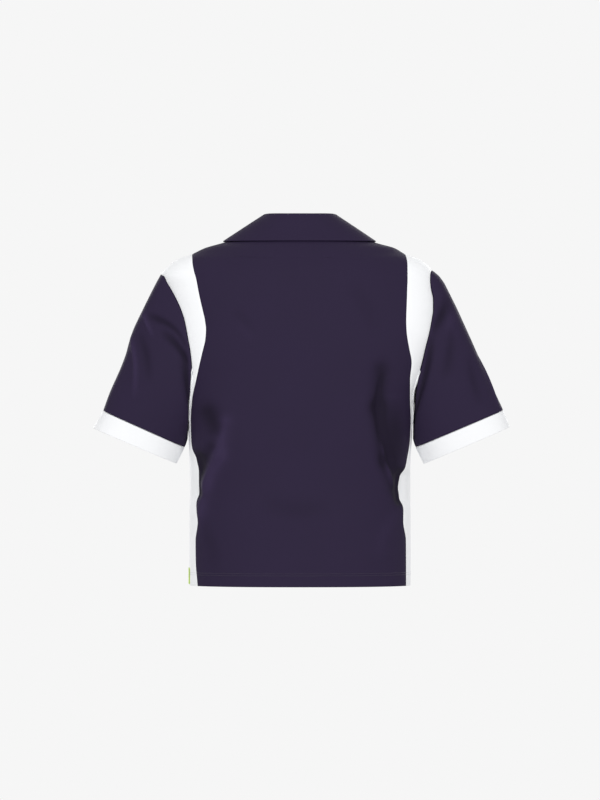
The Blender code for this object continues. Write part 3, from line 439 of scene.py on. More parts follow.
def sideGrids(side):
    # below the arm, up the back of the armhole, and up its front
    seams = {face: curvedSeam(side, face) for face in (backFace, frontFace)}
    shares = knots(torso["legColumns"])
    legs = []
    for face in (backFace, frontFace):
        share = shares[None, :, None]
        leg = seams[face][1][:, None] * (1 - share) + armholeSide(side, face)[:, None] * share
        leg[-1, 0, 1] -= torso["joinDrop"]
        legs.append(leg)
    top = np.concatenate((legs[0][0], underarm(side)[1:-1], legs[1][0][::-1]))
    lengths = arcLengths(formPoints(top))
    columns = lengths / lengths[-1]
    lower = [seams[face][0] for face in (backFace, frontFace)]
    bottom = level(lower[0][0][0], lower[1][0][0], columns)
    rise = knots(torso["rows"], end=False) ** 2
    return [patch(bottom, top, *lower, rise, columns), legs[0], legs[1][:, ::-1]]


def foldRelief(points):
    total = np.zeros(points.shape[:-1])
    here = points[..., (0, 2)]
    for fold in folds:
        start = np.array((fold.across, fold.height))
        line = np.array((fold.toAcross, fold.toHeight)) - start
        share = np.clip(((here - start) @ line) / (line @ line), 0.0, 1.0)
        far = np.linalg.norm(here - start - share[..., None] * line, axis=-1) / fold.reach
        onFace = points[..., 1] * fold.face >= 0
        total += np.where(onFace, fold.relief * np.exp(-far * far), 0.0)
    return total


creaseLine = {"steps": 28, "reaches": 3.0, "taper": 0.8}  # how far a crease is felt, and how its ends fade


def creaseRelief(here, creases):
    # here holds flat positions in mm; a crease leans to one side where lean isn't 0
    total = np.zeros(here.shape[:-1])
    share = np.linspace(0.0, 1.0, creaseLine["steps"])[:, None]
    for crease in creases:
        start, middle, end = (np.array(place) for place in (crease.start, crease.middle, crease.end))
        bend = 2 * middle - (start + end) / 2
        line = start * (1 - share) ** 2 + 2 * bend * share * (1 - share) + end * share**2
        margin = creaseLine["reaches"] * crease.reach
        low, high = line.min(axis=0) - margin, line.max(axis=0) + margin
        near = ((here > low) & (here < high)).all(axis=-1)
        spots = here[near]
        best = np.full(len(spots), np.inf)
        lift = np.zeros(len(spots))
        for step, (first, second) in enumerate(zip(line, line[1:])):
            span = second - first
            t = np.clip(((spots - first) @ span) / (span @ span), 0.0, 1.0)
            gap = spots - first - t[:, None] * span
            far = np.linalg.norm(gap, axis=1)
            signed = (gap[:, 0] * span[1] - gap[:, 1] * span[0]) / np.linalg.norm(span) / crease.reach
            taper = np.sin(math.pi * (step + t) / (creaseLine["steps"] - 1)) ** creaseLine["taper"]
            value = crease.relief * taper * np.exp(-((far / crease.reach) ** 2)) * (1 + crease.lean * signed)
            closer = far < best
            best = np.where(closer, far, best)
            lift = np.where(closer, value, lift)
        total[near] += lift
    return total


def bodyLift(points):
    here = points[..., (0, 2)]
    total = foldRelief(points)
    for face, creases in bodyCreases.items():
        total += np.where(points[..., 1] * face >= 0, creaseRelief(here, creases), 0.0)
    return total


# how the open edges roll in and are rounded, in mm
edgeRoll = {"depth": 0.45, "reach": 1.5, "sampleStep": 0.4, "bevel": 0.3, "bevelAngle": 50.0}


def gridCells(grids, closed, skip):
    # the four corners of each cell, a cell that is in skip left out
    cells, offset = [], 0
    for grid in grids:
        rows, columns = grid.shape[:2]
        for row in range(rows - 1):
            for column in range(columns if closed else columns - 1):
                if (row, column) in skip:
                    continue
                after = (column + 1) % columns
                low = offset + row * columns
                high = low + columns
                cells.append((low + column, low + after, high + after, high + column))
        offset += rows * columns
    return np.array(cells)


def gridUv(points):
    # arc lengths in metres, from the middle column and the first row
    middle = points.shape[1] // 2
    steps = np.linalg.norm(np.diff(points, axis=1), axis=2)
    across = np.concatenate((np.zeros((len(points), 1)), np.cumsum(steps, axis=1)), axis=1)
    across -= across[:, middle:middle + 1]
    return pairUp(across, arcLengths(points[:, middle])[:, None]) * mm


def weld(grids, lifts):
    # one list of points and lifts for all the grids, and where each grid point went
    points = np.concatenate([grid.reshape(-1, 3) for grid in grids])
    lift = np.concatenate([part.ravel() for part in lifts])
    _, first, place = np.unique(np.round(points, 4), axis=0, return_index=True, return_inverse=True)
    return points[first], lift[first], place.ravel()


def facingOut(points, faces, cells):
    corners = points[faces]
    normals = np.cross(corners[:, 2] - corners[:, 0], corners[:, 3] - corners[:, 1])
    middle = corners.mean(axis=1)
    if (normals * (middle - middle.mean(axis=0))).sum() < 0:
        return faces[:, ::-1], cells[:, ::-1], -normals
    return faces, cells, normals


def normalsAtPoints(points, faces, normals):
    # and which of the points a face uses
    total = np.zeros_like(points)
    for corner in range(4):
        np.add.at(total, faces[:, corner], normals)
    used = np.linalg.norm(total, axis=1) > 0
    total[used] = unit(total[used])
    return total, used


def rimSamples(points, faces):
    # points along the edges that only one face has
    pairs = np.concatenate([faces[:, [i, (i + 1) % 4]] for i in range(4)])
    edges, counts = np.unique(np.sort(pairs, axis=1), axis=0, return_counts=True)
    samples = []
    for start, end in points[edges[counts == 1]]:
        count = max(int(np.linalg.norm(end - start) / edgeRoll["sampleStep"]), 1)
        for share in np.arange(count) / count:
            samples.append(start + (end - start) * share)
    return samples


def distanceToRim(points, samples):
    tree = kdtree.KDTree(len(samples))
    for index, sample in enumerate(samples):
        tree.insert(sample, index)
    tree.balance()
    return np.array([tree.find(point)[2] for point in points])


def pulledBack(points, faces, normals):
    # half the seam's gap, taken off along the open edges
    pulls = np.zeros_like(points)
    edges = {}
    for index, face in enumerate(faces.tolist()):
        for start, end in zip(face, face[1:] + face[:1]):
            key = (min(start, end), max(start, end))
            if key in edges:
                del edges[key]
            else:
                edges[key] = (start, end, index)
    for start, end, index in edges.values():
        inward = unit(np.cross(normals[index], points[end] - points[start]))
        pulls[start] += inward / 2
        pulls[end] += inward / 2
    return points + pulls * torso["seam"] / 2


def linked(item):
    bpy.context.scene.collection.objects.link(item)
    return item


def smoothPiece(name, mesh, material):
    mesh.materials.append(material)
    mesh.shade_smooth()
    return linked(bpy.data.objects.new(name, mesh))


def addThickness(piece, thickness, offset, bevel):
    shell = piece.modifiers.new("thickness", "SOLIDIFY")
    shell.thickness = thickness * mm
    shell.offset = offset
    rounded = piece.modifiers.new("roundedRim", "BEVEL")
    rounded.width = bevel * mm
    rounded.segments = 2
    rounded.limit_method = "ANGLE"
    rounded.angle_limit = math.radians(edgeRoll["bevelAngle"])


def makeCloth(name, grids, lifts, thickness, material, closed=False, skip=(), offset=-1.0, roll=True,
              bevel=edgeRoll["bevel"]):
    # welds the grids to one surface, raises its folds, rolls its edges in and gives it thickness
    points, foldLift, place = weld(grids, lifts)
    cells = gridCells(grids, closed, skip)
    faces, cells, normals = facingOut(points, place[cells], cells)
    outward, used = normalsAtPoints(points, faces, normals)
    lift = foldLift
    if roll:
        far = distanceToRim(points, rimSamples(points, faces))
        lift = foldLift - edgeRoll["depth"] * np.exp(-((far / edgeRoll["reach"]) ** 2))
    final = pulledBack(points + outward * lift[:, None], faces, normals)

    uv = np.concatenate([gridUv(grid).reshape(-1, 2) for grid in grids])
    keep = np.cumsum(used) - 1
    mesh = bpy.data.meshes.new(name)
    mesh.from_pydata((final[used] * mm).tolist(), [], keep[faces].tolist())
    mesh.uv_layers.new(name="clothMetres").data.foreach_set("uv", uv[cells].ravel())
    # the fold heights, which the material turns into a painted highlight on the ridges and painted shade in
    # the dents
    mesh.attributes.new("foldLift", "FLOAT", "POINT").data.foreach_set("value", foldLift[used])
    piece = smoothPiece(name, mesh, material)
    addThickness(piece, thickness, offset, bevel)
    print("cloth:", name, len(faces), "cells")
    rows, columns = grids[0].shape[:2]
    firstGrid = place[:rows * columns].reshape(rows, columns)
    return piece, (final[firstGrid], outward[firstGrid])


def plainCloth(name, grid, thickness, material, **settings):
    # a cloth without folds or rolled edges
    return makeCloth(name, [grid], [np.zeros(grid.shape[:2])], thickness, material, roll=False, **settings)[0]


def addNode(tree, kind, inputs=None, **settings):
    node = tree.nodes.new(kind)
    for name, value in settings.items():
        setattr(node, name, value)
    for name, value in (inputs or {}).items():
        feed(tree, node.inputs[name], value)
    return node


def feed(tree, socket, value):
    # a socket takes a link or a plain value
    if isinstance(value, bpy.types.NodeSocket):
        tree.links.new(value, socket)
    else:
        socket.default_value = value


def mathNode(tree, operation, *values):
    return addNode(tree, "ShaderNodeMath", dict(enumerate(values)), operation=operation).outputs[0]


def mixColour(tree, factor, first, second):
    node = addNode(tree, "ShaderNodeMix", data_type="RGBA")
    for socket, value in ((0, factor), (6, (*first, 1.0)), (7, (*second, 1.0))):
        feed(tree, node.inputs[socket], value)
    return node.outputs[2]


def noise(tree, place, scale, detail):
    return addNode(tree, "ShaderNodeTexNoise", {"Vector": place, "Scale": scale, "Detail": detail}).outputs[0]


def bump(tree, height, strength, distance, normal=None):
    node = addNode(tree, "ShaderNodeBump", {"Strength": strength, "Distance": distance, "Height": height})
    if normal is not None:
        tree.links.new(normal, node.inputs["Normal"])
    return node.outputs[0]


def newMaterial(name):
    material = bpy.data.materials.new(name)
    material.use_nodes = True
    tree = material.node_tree
    return material, tree, tree.nodes["Principled BSDF"]


def newGroup(name, inputs, outputs):
    group = bpy.data.node_groups.new(name, "ShaderNodeTree")
    for socketName, value in inputs.items():
        kind = "NodeSocketFloat" if isinstance(value, float) else "NodeSocketVector"
        socket = group.interface.new_socket(socketName, in_out="INPUT", socket_type=kind)
        socket.default_value = value
    for socketName in outputs:
        group.interface.new_socket(socketName, in_out="OUTPUT", socket_type="NodeSocketFloat")
    return group, group.nodes.new("NodeGroupInput").outputs, group.nodes.new("NodeGroupOutput").inputs


knit = {
    "wobbleScale": 90.0,
    "loopDepth": 0.25,  # how much a stitch dips between its courses
    "ribCurve": 3.2,
    "maskTop": 0.8,
    "maskSoftness": 0.2,
}


def makeKnitGroup():
    # rows of small V stitches from a surface position in metres
    inputs = {"Place": (0.0, 0.0, 0.0), "Wale Width": 0.0008, "Course Height": 0.0007, "Wave": 0.0003}
    group, source, result = newGroup("fineKnit", inputs, ("Height", "Yarn Mask"))
    wobble = noise(group, source["Place"], knit["wobbleScale"], 1.0)
    shift = mathNode(group, "MULTIPLY", mathNode(group, "SUBTRACT", wobble, 0.5), source["Wave"])
    parts = addNode(group, "ShaderNodeSeparateXYZ", {0: source["Place"]}).outputs
    wale = mathNode(group, "DIVIDE", mathNode(group, "ADD", parts[0], shift), source["Wale Width"])
    fromCentre = mathNode(group, "ABSOLUTE", mathNode(group, "SUBTRACT", mathNode(group, "FRACT", wale), 0.5))
    course = mathNode(group, "ADD", mathNode(group, "DIVIDE", parts[1], source["Course Height"]), fromCentre)
    wave = mathNode(group, "SINE", mathNode(group, "MULTIPLY", course, 2 * math.pi))
    loop = mathNode(group, "MULTIPLY_ADD", wave, knit["loopDepth"], 1 - knit["loopDepth"])
    valley = mathNode(group, "MULTIPLY", fromCentre, fromCentre)
    rib = mathNode(group, "SUBTRACT", 1.0, mathNode(group, "MULTIPLY", valley, knit["ribCurve"]))
    height = mathNode(group, "MULTIPLY", rib, loop)
    # the yarn's tops; below them the material paints shade into the gaps between the loops
    mask = mathNode(group, "SMOOTH_MIN", height, knit["maskTop"], knit["maskSoftness"])
    group.links.new(height, result["Height"])
    group.links.new(mask, result["Yarn Mask"])
    return group


def makeDyeGroup():
    # soft unevenness of dyed cloth: broad patches and fine flecks
    inputs = {"Patch Scale": 16.0, "Fleck Scale": 900.0, "Fleck Share": 0.5, "Strength": 0.1}
    group, source, result = newGroup("dyeUnevenness", inputs, ("Shade", "Softness"))
    place = addNode(group, "ShaderNodeTexCoord").outputs["Object"]
    patches = mathNode(group, "SUBTRACT", noise(group, place, source["Patch Scale"], 3.0), 0.5)
    flecks = mathNode(group, "SUBTRACT", noise(group, place, source["Fleck Scale"], 1.0), 0.5)
    centred = mathNode(group, "MULTIPLY_ADD", flecks, source["Fleck Share"], patches)
    group.links.new(mathNode(group, "MULTIPLY_ADD", centred, source["Strength"], 1.0), result["Shade"])
    group.links.new(mathNode(group, "MULTIPLY_ADD", centred, 0.5, 0.5), result["Softness"])
    return group


knitGroup, dyeGroup = makeKnitGroup(), makeDyeGroup()


def placeGroup(tree, group, inputs):
    node = addNode(tree, "ShaderNodeGroup", node_tree=group)
    for name, value in inputs.items():
        feed(tree, node.inputs[name], value)
    return node.outputs


def knitMaterial(name, look):
    # yarn over darker gaps, with painted shade in the gaps between the loops; unevenly dyed; with a painted
    # highlight on the ridges of folds and painted shade in their dents
    material, tree, shader = newMaterial(name)
    stitches = placeGroup(tree, knitGroup, {
        "Place": addNode(tree, "ShaderNodeUVMap", uv_map="clothMetres").outputs[0],
        "Wale Width": look["wale"], "Course Height": look["course"], "Wave": look["wave"],
    })
    dye = placeGroup(tree, dyeGroup, {
        "Patch Scale": look["patches"], "Fleck Scale": look["flecks"], "Strength": look["unevenness"],
    })
    # painted highlight on fold ridges and painted shade in fold dents, from each point's fold height
    lift = addNode(tree, "ShaderNodeAttribute", attribute_name="foldLift").outputs["Fac"]
    foldHighlightAndShade = mathNode(tree, "MULTIPLY_ADD", lift, look["paintedFoldLightGain"], 1.0)
    foldHighlightAndShade = mathNode(tree, "MAXIMUM", mathNode(tree, "MINIMUM", foldHighlightAndShade, look["paintedHighlightLimit"]), look["paintedShadeLimit"])
    shade = mathNode(tree, "MULTIPLY", dye["Shade"], foldHighlightAndShade)
    # painted shade in the gaps between the loops: the valley colour where the yarn sinks
    yarnWithPaintedGapShade = mixColour(tree, stitches["Yarn Mask"], look["valley"], look["colour"])
    colour = addNode(tree, "ShaderNodeVectorMath", {0: yarnWithPaintedGapShade, "Scale": shade}, operation="SCALE").outputs[0]
    rough = mathNode(tree, "MULTIPLY_ADD", dye["Softness"], look["roughSpan"], look["roughness"])
    place = addNode(tree, "ShaderNodeTexCoord").outputs["Object"]
    soft = bump(tree, noise(tree, place, look["puckerScale"], 2.0), look["pucker"], look["puckerHeight"])
    fine = bump(tree, stitches["Height"], look["relief"], look["stitchHeight"], soft)
    tree.links.new(colour, shader.inputs["Base Color"])
    tree.links.new(rough, shader.inputs["Roughness"])
    tree.links.new(fine, shader.inputs["Normal"])
    shader.inputs["Sheen Weight"].default_value = look["sheen"]
    shader.inputs["Sheen Roughness"].default_value = 0.5
    shader.inputs["Specular IOR Level"].default_value = look["specular"]
    return material


jerseyLook = {  # what all the cloths share: sizes in metres, scales in steps to a metre
    "wale": 0.0008,
    "course": 0.0007,
    "wave": 0.0004,
    "patches": 14.0,
    "flecks": 1400.0,
    "roughSpan": 0.2,
    "pucker": 0.10,
    "puckerHeight": 0.001,
    "relief": 0.35,
    "stitchHeight": 0.0002,
}
navyLook = {
    **jerseyLook,
    "colour": (0.0284, 0.0188, 0.0496),
    # valley: the painted shade colour in the gaps between the knit's loops
    "valley": (0.016, 0.0105, 0.029),
    "unevenness": 0.14,
    "paintedFoldLightGain": 0.16,  # painted highlight and shade: how much paler the colour is for each mm that a fold stands up, and darker for each mm it sinks
    # the most painted highlight and the deepest painted shade, as factors on the colour
    "paintedHighlightLimit": 1.4,
    "paintedShadeLimit": 0.5,
    "roughness": 0.60,
    "roughSpan": 0.22,
    "puckerScale": 130.0,
    "sheen": 0.0,
    "specular": 0.11,
}
whiteLook = {
    **jerseyLook,
    "colour": (0.93, 0.937, 0.95),
    # valley: the painted shade colour in the gaps between the knit's loops
    "valley": (0.88, 0.89, 0.91),
    "unevenness": 0.03,
    # painted highlight on fold ridges and painted shade in fold dents, weaker on white
    "paintedFoldLightGain": 0.012,
    "paintedHighlightLimit": 1.03,
    "paintedShadeLimit": 0.9,
    "roughness": 0.48,
    "puckerScale": 120.0,
    "sheen": 0.05,
    "specular": 0.3,
}
cuffLook = {
    **whiteLook,
    "colour": (0.86, 0.867, 0.88),
    "wale": 0.0013,
    "course": 0.0009,
    "relief": 0.6,
    "pucker": 0.14,
}
limeLook = {
    **whiteLook,
    "colour": (0.62, 0.85, 0.08),
    # valley: the painted shade colour in the gaps between the knit's loops
    "valley": (0.42, 0.62, 0.05),
    "wale": 0.0006,
    "course": 0.0006,
    "unevenness": 0.08,
}
navyJersey = knitMaterial("navyJersey", navyLook)
whiteJersey = knitMaterial("whiteJersey", whiteLook)
whiteRib = knitMaterial("whiteRib", cuffLook)
limeTab = knitMaterial("limeTab", limeLook)

yarnLook = {
    "twist": 900.0,
    "distortion": 1.5,
    "dark": 0.7,
    "relief": 0.4,
    "twistHeight": 0.0001,
    "roughness": 0.4,
    "roughSpan": 0.15,
    "sheen": 0.15,
}


def threadMaterial(name, colour):
    # twisted yarn: fine slanted bands
    material, tree, shader = newMaterial(name)
    inputs = {
        "Vector": addNode(tree, "ShaderNodeTexCoord").outputs["Object"],
        "Scale": yarnLook["twist"],
        "Distortion": yarnLook["distortion"],
    }
    twist = addNode(tree, "ShaderNodeTexWave", inputs, bands_direction="DIAGONAL").outputs["Fac"]
    shade = mixColour(tree, twist, [value * yarnLook["dark"] for value in colour], colour)
    rough = mathNode(tree, "MULTIPLY_ADD", twist, yarnLook["roughSpan"], yarnLook["roughness"])
    normal = bump(tree, twist, yarnLook["relief"], yarnLook["twistHeight"])
    for socket, value in (("Base Color", shade), ("Roughness", rough), ("Normal", normal)):
        tree.links.new(value, shader.inputs[socket])
    shader.inputs["Sheen Weight"].default_value = yarnLook["sheen"]
    return material


navyThread = threadMaterial("navyThread", (0.030, 0.021, 0.051))
whiteThread = threadMaterial("whiteThread", (0.82, 0.83, 0.86))
limeThread = threadMaterial("limeThread", (0.66, 0.86, 0.14))

resinLook = {
    "colour": (0.022, 0.018, 0.038),
    "cloud": (0.045, 0.038, 0.066),
    "cloudScale": 260.0,
    "scratchScale": 2600.0,
    "scratch": 0.1,
    "scratchHeight": 0.0001,
    "roughness": 0.22,
    "roughSpan": 0.2,
    "coat": 0.25,
}


def buttonMaterial():
    # moulded resin with faint cloudy depth and fine scratches
    material, tree, shader = newMaterial("buttonResin")
    place = addNode(tree, "ShaderNodeTexCoord").outputs["Object"]
    cloud = noise(tree, place, resinLook["cloudScale"], 3.0)
    scratch = noise(tree, place, resinLook["scratchScale"], 2.0)
    shade = mixColour(tree, cloud, resinLook["colour"], resinLook["cloud"])
    rough = mathNode(tree, "MULTIPLY_ADD", scratch, resinLook["roughSpan"], resinLook["roughness"])
    normal = bump(tree, scratch, resinLook["scratch"], resinLook["scratchHeight"])
    for socket, value in (("Base Color", shade), ("Roughness", rough), ("Normal", normal)):
        tree.links.new(value, shader.inputs[socket])
    shader.inputs["Coat Weight"].default_value = resinLook["coat"]
    return material


buttonResin = buttonMaterial()
print("materials made")

# a row of stitches, in mm
stitch = {"pitch": 3.0, "length": 2.3, "radius": 0.26, "sides": 6, "sink": 0.12, "dip": 0.3}
stitchEnd = {"fullness": 0.35, "shoulder": 0.7}


def resample(line, pitch):
    # evenly spaced points and normals along a line of (points, normals)
    points, normals = line
    lengths = arcLengths(points)
    count = max(int(round(lengths[-1] / pitch)), 1)
    wanted = np.linspace(0.0, lengths[-1], count + 1)
    return readAlong(wanted, lengths, points), unit(readAlong(wanted, lengths, normals))


def makeStitches(name, lines, material, settings=stitch):
    # one short tapered tube for each stitch, half sunk in the cloth
    verts, faces = [], []
    sides, radius = settings["sides"], settings["radius"]
    tip, low = settings["length"] / 2, -settings["dip"]
    bend, thin = tip * stitchEnd["shoulder"], stitchEnd["fullness"]
    profile = ((-tip, thin, low), (-bend, 1.0, 0.0), (bend, 1.0, 0.0), (tip, thin, low))
    for line in lines:
        points, normals = resample(line, settings["pitch"])
        for start, end, normal in zip(points, points[1:], normals):
            middle = (start + end) / 2 + normal * settings["sink"]
            along = unit(end - start)
            across = unit(np.cross(normal, along))
            base = len(verts)
            for reach, fullness, height in profile:
                centre = middle + along * reach + normal * height
                for turn in np.arange(sides) * 2 * math.pi / sides:
                    spread = across * math.cos(turn) + normal * math.sin(turn)
                    verts.append((centre + spread * radius * fullness) * mm)
            for ring in range(len(profile) - 1):
                for step in range(sides):
                    low, after = base + ring * sides, (step + 1) % sides
                    faces.append((low + step, low + after, low + sides + after, low + sides + step))
            last = base + (len(profile) - 1) * sides
            faces.append(tuple(range(base, base + sides))[::-1])
            faces.append(tuple(range(last, last + sides)))
    mesh = bpy.data.meshes.new(name)
    mesh.from_pydata([tuple(vert) for vert in verts], [], faces)
    tidy = bmesh.new()
    tidy.from_mesh(mesh)
    bmesh.ops.recalc_face_normals(tidy, faces=tidy.faces)
    tidy.to_mesh(mesh)
    tidy.free()
    piece = smoothPiece(name, mesh, material)
    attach(piece, "root")
    return piece


def rowAt(surface, distance):
    # the line that runs a distance above the first row
    points, normals = surface
    ways = np.concatenate((
        np.zeros((1, points.shape[1])), np.cumsum(np.linalg.norm(np.diff(points, axis=0), axis=2), axis=0)
    ))
    read = []
    for values in (points, normals):
        columns = []
        for column in range(points.shape[1]):
            columns.append([np.interp(distance, ways[:, column], values[:, column, i]) for i in range(3)])
        read.append(np.array(columns))
    return read[0], unit(read[1])


def dress(piece, node, slot, flat, area, held="hung", threads=()):
    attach(piece, "root")
    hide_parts(node)


hemStitch = {"rows": (17.0, 20.0)}
panelCuts = {  # flat size of the cut and its area, in metres
    "back": ((0.40, 0.53), 0.19),
    "front": ((0.40, 0.53), 0.167),
    "sideLeft": ((0.15, 0.56), 0.047),
    "sideRight": ((0.15, 0.56), 0.050),
    "sleeveLeft": ((0.36, 0.24), 0.058),
    "sleeveRight": ((0.36, 0.24), 0.0525),
}


def hemThreads(name, surface, material):
    lines = [rowAt(surface, distance) for distance in hemStitch["rows"]]
    return [makeStitches(name, lines, material)]


grid = formPoints(backGrid())
backPanel, surface = makeCloth("backPanel", [grid], [bodyLift(grid)], torso["cloth"], navyJersey)
backThreads = hemThreads("backHemStitches", surface, navyThread)
dress(backPanel, "back", "navy_jersey", *panelCuts["back"], threads=backThreads)

frontPlaces, slotColumn = frontGrid()
grid = formPoints(frontPlaces)
centreHeights = frontPlaces[:, slotColumn + placket["slotColumns"] // 2, 1]
slotRow = int(np.argmin(abs(centreHeights - placket["slotBottom"])))
slotCells = {
    (row, column)
    for row in range(slotRow, len(grid) - 1)
    for column in range(slotColumn, slotColumn + placket["slotColumns"])
}
frontPanel, surface = makeCloth(
    "frontPanel", [grid], [bodyLift(grid)], torso["cloth"], navyJersey, skip=slotCells
)
frontThreads = hemThreads("frontHemStitches", surface, navyThread)
dress(frontPanel, "front", "navy_jersey", *panelCuts["front"], threads=frontThreads)

for side, word in sideWords.items():
    grids = [formPoints(part) for part in sideGrids(side)]
    panel, surface = makeCloth(
        f"{word}SidePanel", grids, [bodyLift(part) for part in grids], torso["cloth"], whiteJersey
    )
    threads = hemThreads(f"{word}SideHemStitches", surface, whiteThread)
    cut = panelCuts["side" + word.capitalize()]
    dress(panel, f"side_panel_{word}", "white_jersey", *cut, threads=threads)

# an oval across a sleeve, from its outer corner to its inner one
Ring = namedtuple("Ring", "outerAcross outerHeight innerAcross innerHeight halfDepth")
sleeve = {
    "cuffSeam": {
        wearerLeft: Ring(295.3, -251.5, 172.8, -306.3, 42.0),
        wearerRight: Ring(304.8, -250.5, 173.3, -306.3, 42.0),
    },
    "squareness": 2.3,
    "gap": 0.5,
    "lean": 0.8,
    "fullness": 5.0,
    "roundPasses": 16,
    "hug": {wearerLeft: 9.0, wearerRight: 5.0},
    "hugAngle": 138.0,
    "hugSpread": 26.0,
    "nearest": 0.34,
    "clearance": 1.3,
    "clearanceShare": 0.25,
    "clearanceTop": -170.0,
    "tuck": 5.0,
    "rows": 76,
    "turnLength": 1.1,  # mm round the sleeve for a degree
    "length": 200.0,
    "seamGroove": 0.4,
}

OutlineRow = namedtuple("OutlineRow", "share left right")
outlineRows = (
    OutlineRow(0.0, 0.0, 0.0),
    OutlineRow(0.06, 1.6, 6.0),
    OutlineRow(0.12, 2.8, 8.0),
    OutlineRow(0.26, 4.7, 7.8),
    OutlineRow(0.41, 6.1, 6.4),
    OutlineRow(0.5, 4.6, 5.4),
    OutlineRow(0.6, 1.7, 4.0),
    OutlineRow(0.7, 0.9, 2.8),
    OutlineRow(0.85, 1.5, 1.2),
    OutlineRow(1.0, 0.0, 0.0),
)
outline = {wearerLeft: Column(outlineRows, "left"), wearerRight: Column(outlineRows, "right")}

# places are mm round the sleeve from its outer edge by the back, and mm down from the armhole
sleeveCreases = {
    wearerLeft: (
        Crease((9.0, 56.0), (30.0, 62.0), (52.0, 68.0), 3.6, 2.6, 0.4),
        Crease((24.0, 56.0), (60.0, 36.0), (110.0, 9.0), 4.6, -3.0, 0.3),
        Crease((44.0, 46.0), (69.0, 33.0), (98.0, 16.0), 3.0, 1.5, 0.0),
        Crease((56.0, 54.0), (88.0, 36.0), (122.0, 18.0), 6.0, -2.8, 0.0),
        Crease((3.0, 94.0), (38.0, 114.0), (68.0, 162.0), 5.0, 2.8, 0.4),
        Crease((24.0, 82.0), (52.0, 94.0), (78.0, 126.0), 8.0, -1.6, 0.0),
        Crease((104.0, 16.0), (132.0, 52.0), (166.0, 104.0), 13.0, -3.4, 0.0),
        Crease((148.0, 20.0), (172.0, 70.0), (190.0, 150.0), 12.0, -1.6, 0.0),
        Crease((372.0, 52.0), (338.0, 44.0), (300.0, 48.0), 4.5, 1.9, 0.0),
        Crease((372.0, 84.0), (350.0, 118.0), (346.0, 172.0), 6.0, 2.4, 0.0),
        Crease((318.0, 30.0), (292.0, 36.0), (268.0, 60.0), 5.0, -2.6, 0.0),
        Crease((310.0, 70.0), (290.0, 100.0), (284.0, 160.0), 9.0, -2.0, 0.0),
    ),
    wearerRight: (
        Crease((20.0, 48.0), (58.0, 25.0), (92.0, 10.0), 8.0, -2.8, 0.0),
        Crease((16.0, 70.0), (44.0, 52.0), (70.0, 40.0), 7.0, 1.0, 0.0),
        Crease((4.0, 124.0), (12.0, 160.0), (26.0, 197.0), 6.0, 2.2, 0.0),
        Crease((40.0, 110.0), (54.0, 140.0), (60.0, 180.0), 10.0, -1.2, 0.0),
        Crease((50.0, 58.0), (76.0, 74.0), (96.0, 100.0), 13.0, -1.4, 0.0),
        Crease((90.0, 12.0), (128.0, 40.0), (168.0, 98.0), 14.0, -3.2, 0.0),
        Crease((140.0, 50.0), (170.0, 100.0), (192.0, 165.0), 13.0, -1.6, 0.0),
        Crease((380.0, 46.0), (344.0, 50.0), (306.0, 64.0), 7.0, -1.8, 0.0),
        Crease((372.0, 96.0), (352.0, 126.0), (346.0, 178.0), 7.0, 2.0, 0.0),
        Crease((318.0, 8.0), (304.0, 40.0), (290.0, 78.0), 6.0, -1.8, 0.0),
    ),
}


def sleeveStart(side):
    # the armhole's points, from the shoulder's tip by the back and under the arm to the front
    back, front = armholeSide(side, backFace)[::-1], armholeSide(side, frontFace)
    loop = np.concatenate((back, underarm(side)[1:-1], front[:-1]))
    points = formPoints(loop)
    along = unit(np.roll(points, -1, axis=0) - np.roll(points, 1, axis=0))
    normal = outwardAt(loop)
    inside = np.cross(along, normal)
    inside *= np.sign((inside * (points.mean(axis=0) - points)).sum(axis=1, keepdims=True))
    return points + sleeve["gap"] * unit(normal + sleeve["lean"] * inside)


def loopShares(points):
    lengths = np.linalg.norm(np.roll(points, -1, axis=0) - points, axis=1)
    half = len(points) // 2
    back = np.cumsum(lengths[:half]) / lengths[:half].sum() / 2
    front = 0.5 + np.cumsum(lengths[half:]) / lengths[half:].sum() / 2
    return np.concatenate(([0.0], back, front[:-1]))


def ringPoints(side, ring, shares):
    # an oval across the sleeve, from its outer corner by the back
    outer = np.array((ring.outerAcross, 0.0, ring.outerHeight))
    inner = np.array((ring.innerAcross, 0.0, ring.innerHeight))
    power = 2 / sleeve["squareness"]
    cosine, sine = np.cos(shares * 2 * math.pi), np.sin(shares * 2 * math.pi)
    along = np.sign(cosine) * abs(cosine) ** power
    deep = np.sign(sine) * abs(sine) ** power
    points = (outer + inner) / 2 + along[:, None] * (outer - inner) / 2
    points[:, 1] += ring.halfDepth * deep
    return points * (side, 1, 1)


def bodyAcross(side, along, height):
    depth = np.where(along >= 0, halfDepth[backFace](height), halfDepth[frontFace](height))
    power = squareness(height)
    return halfWidth[side](height) * np.maximum(1 - (abs(along) / depth) ** power, 0.0) ** (1 / power)


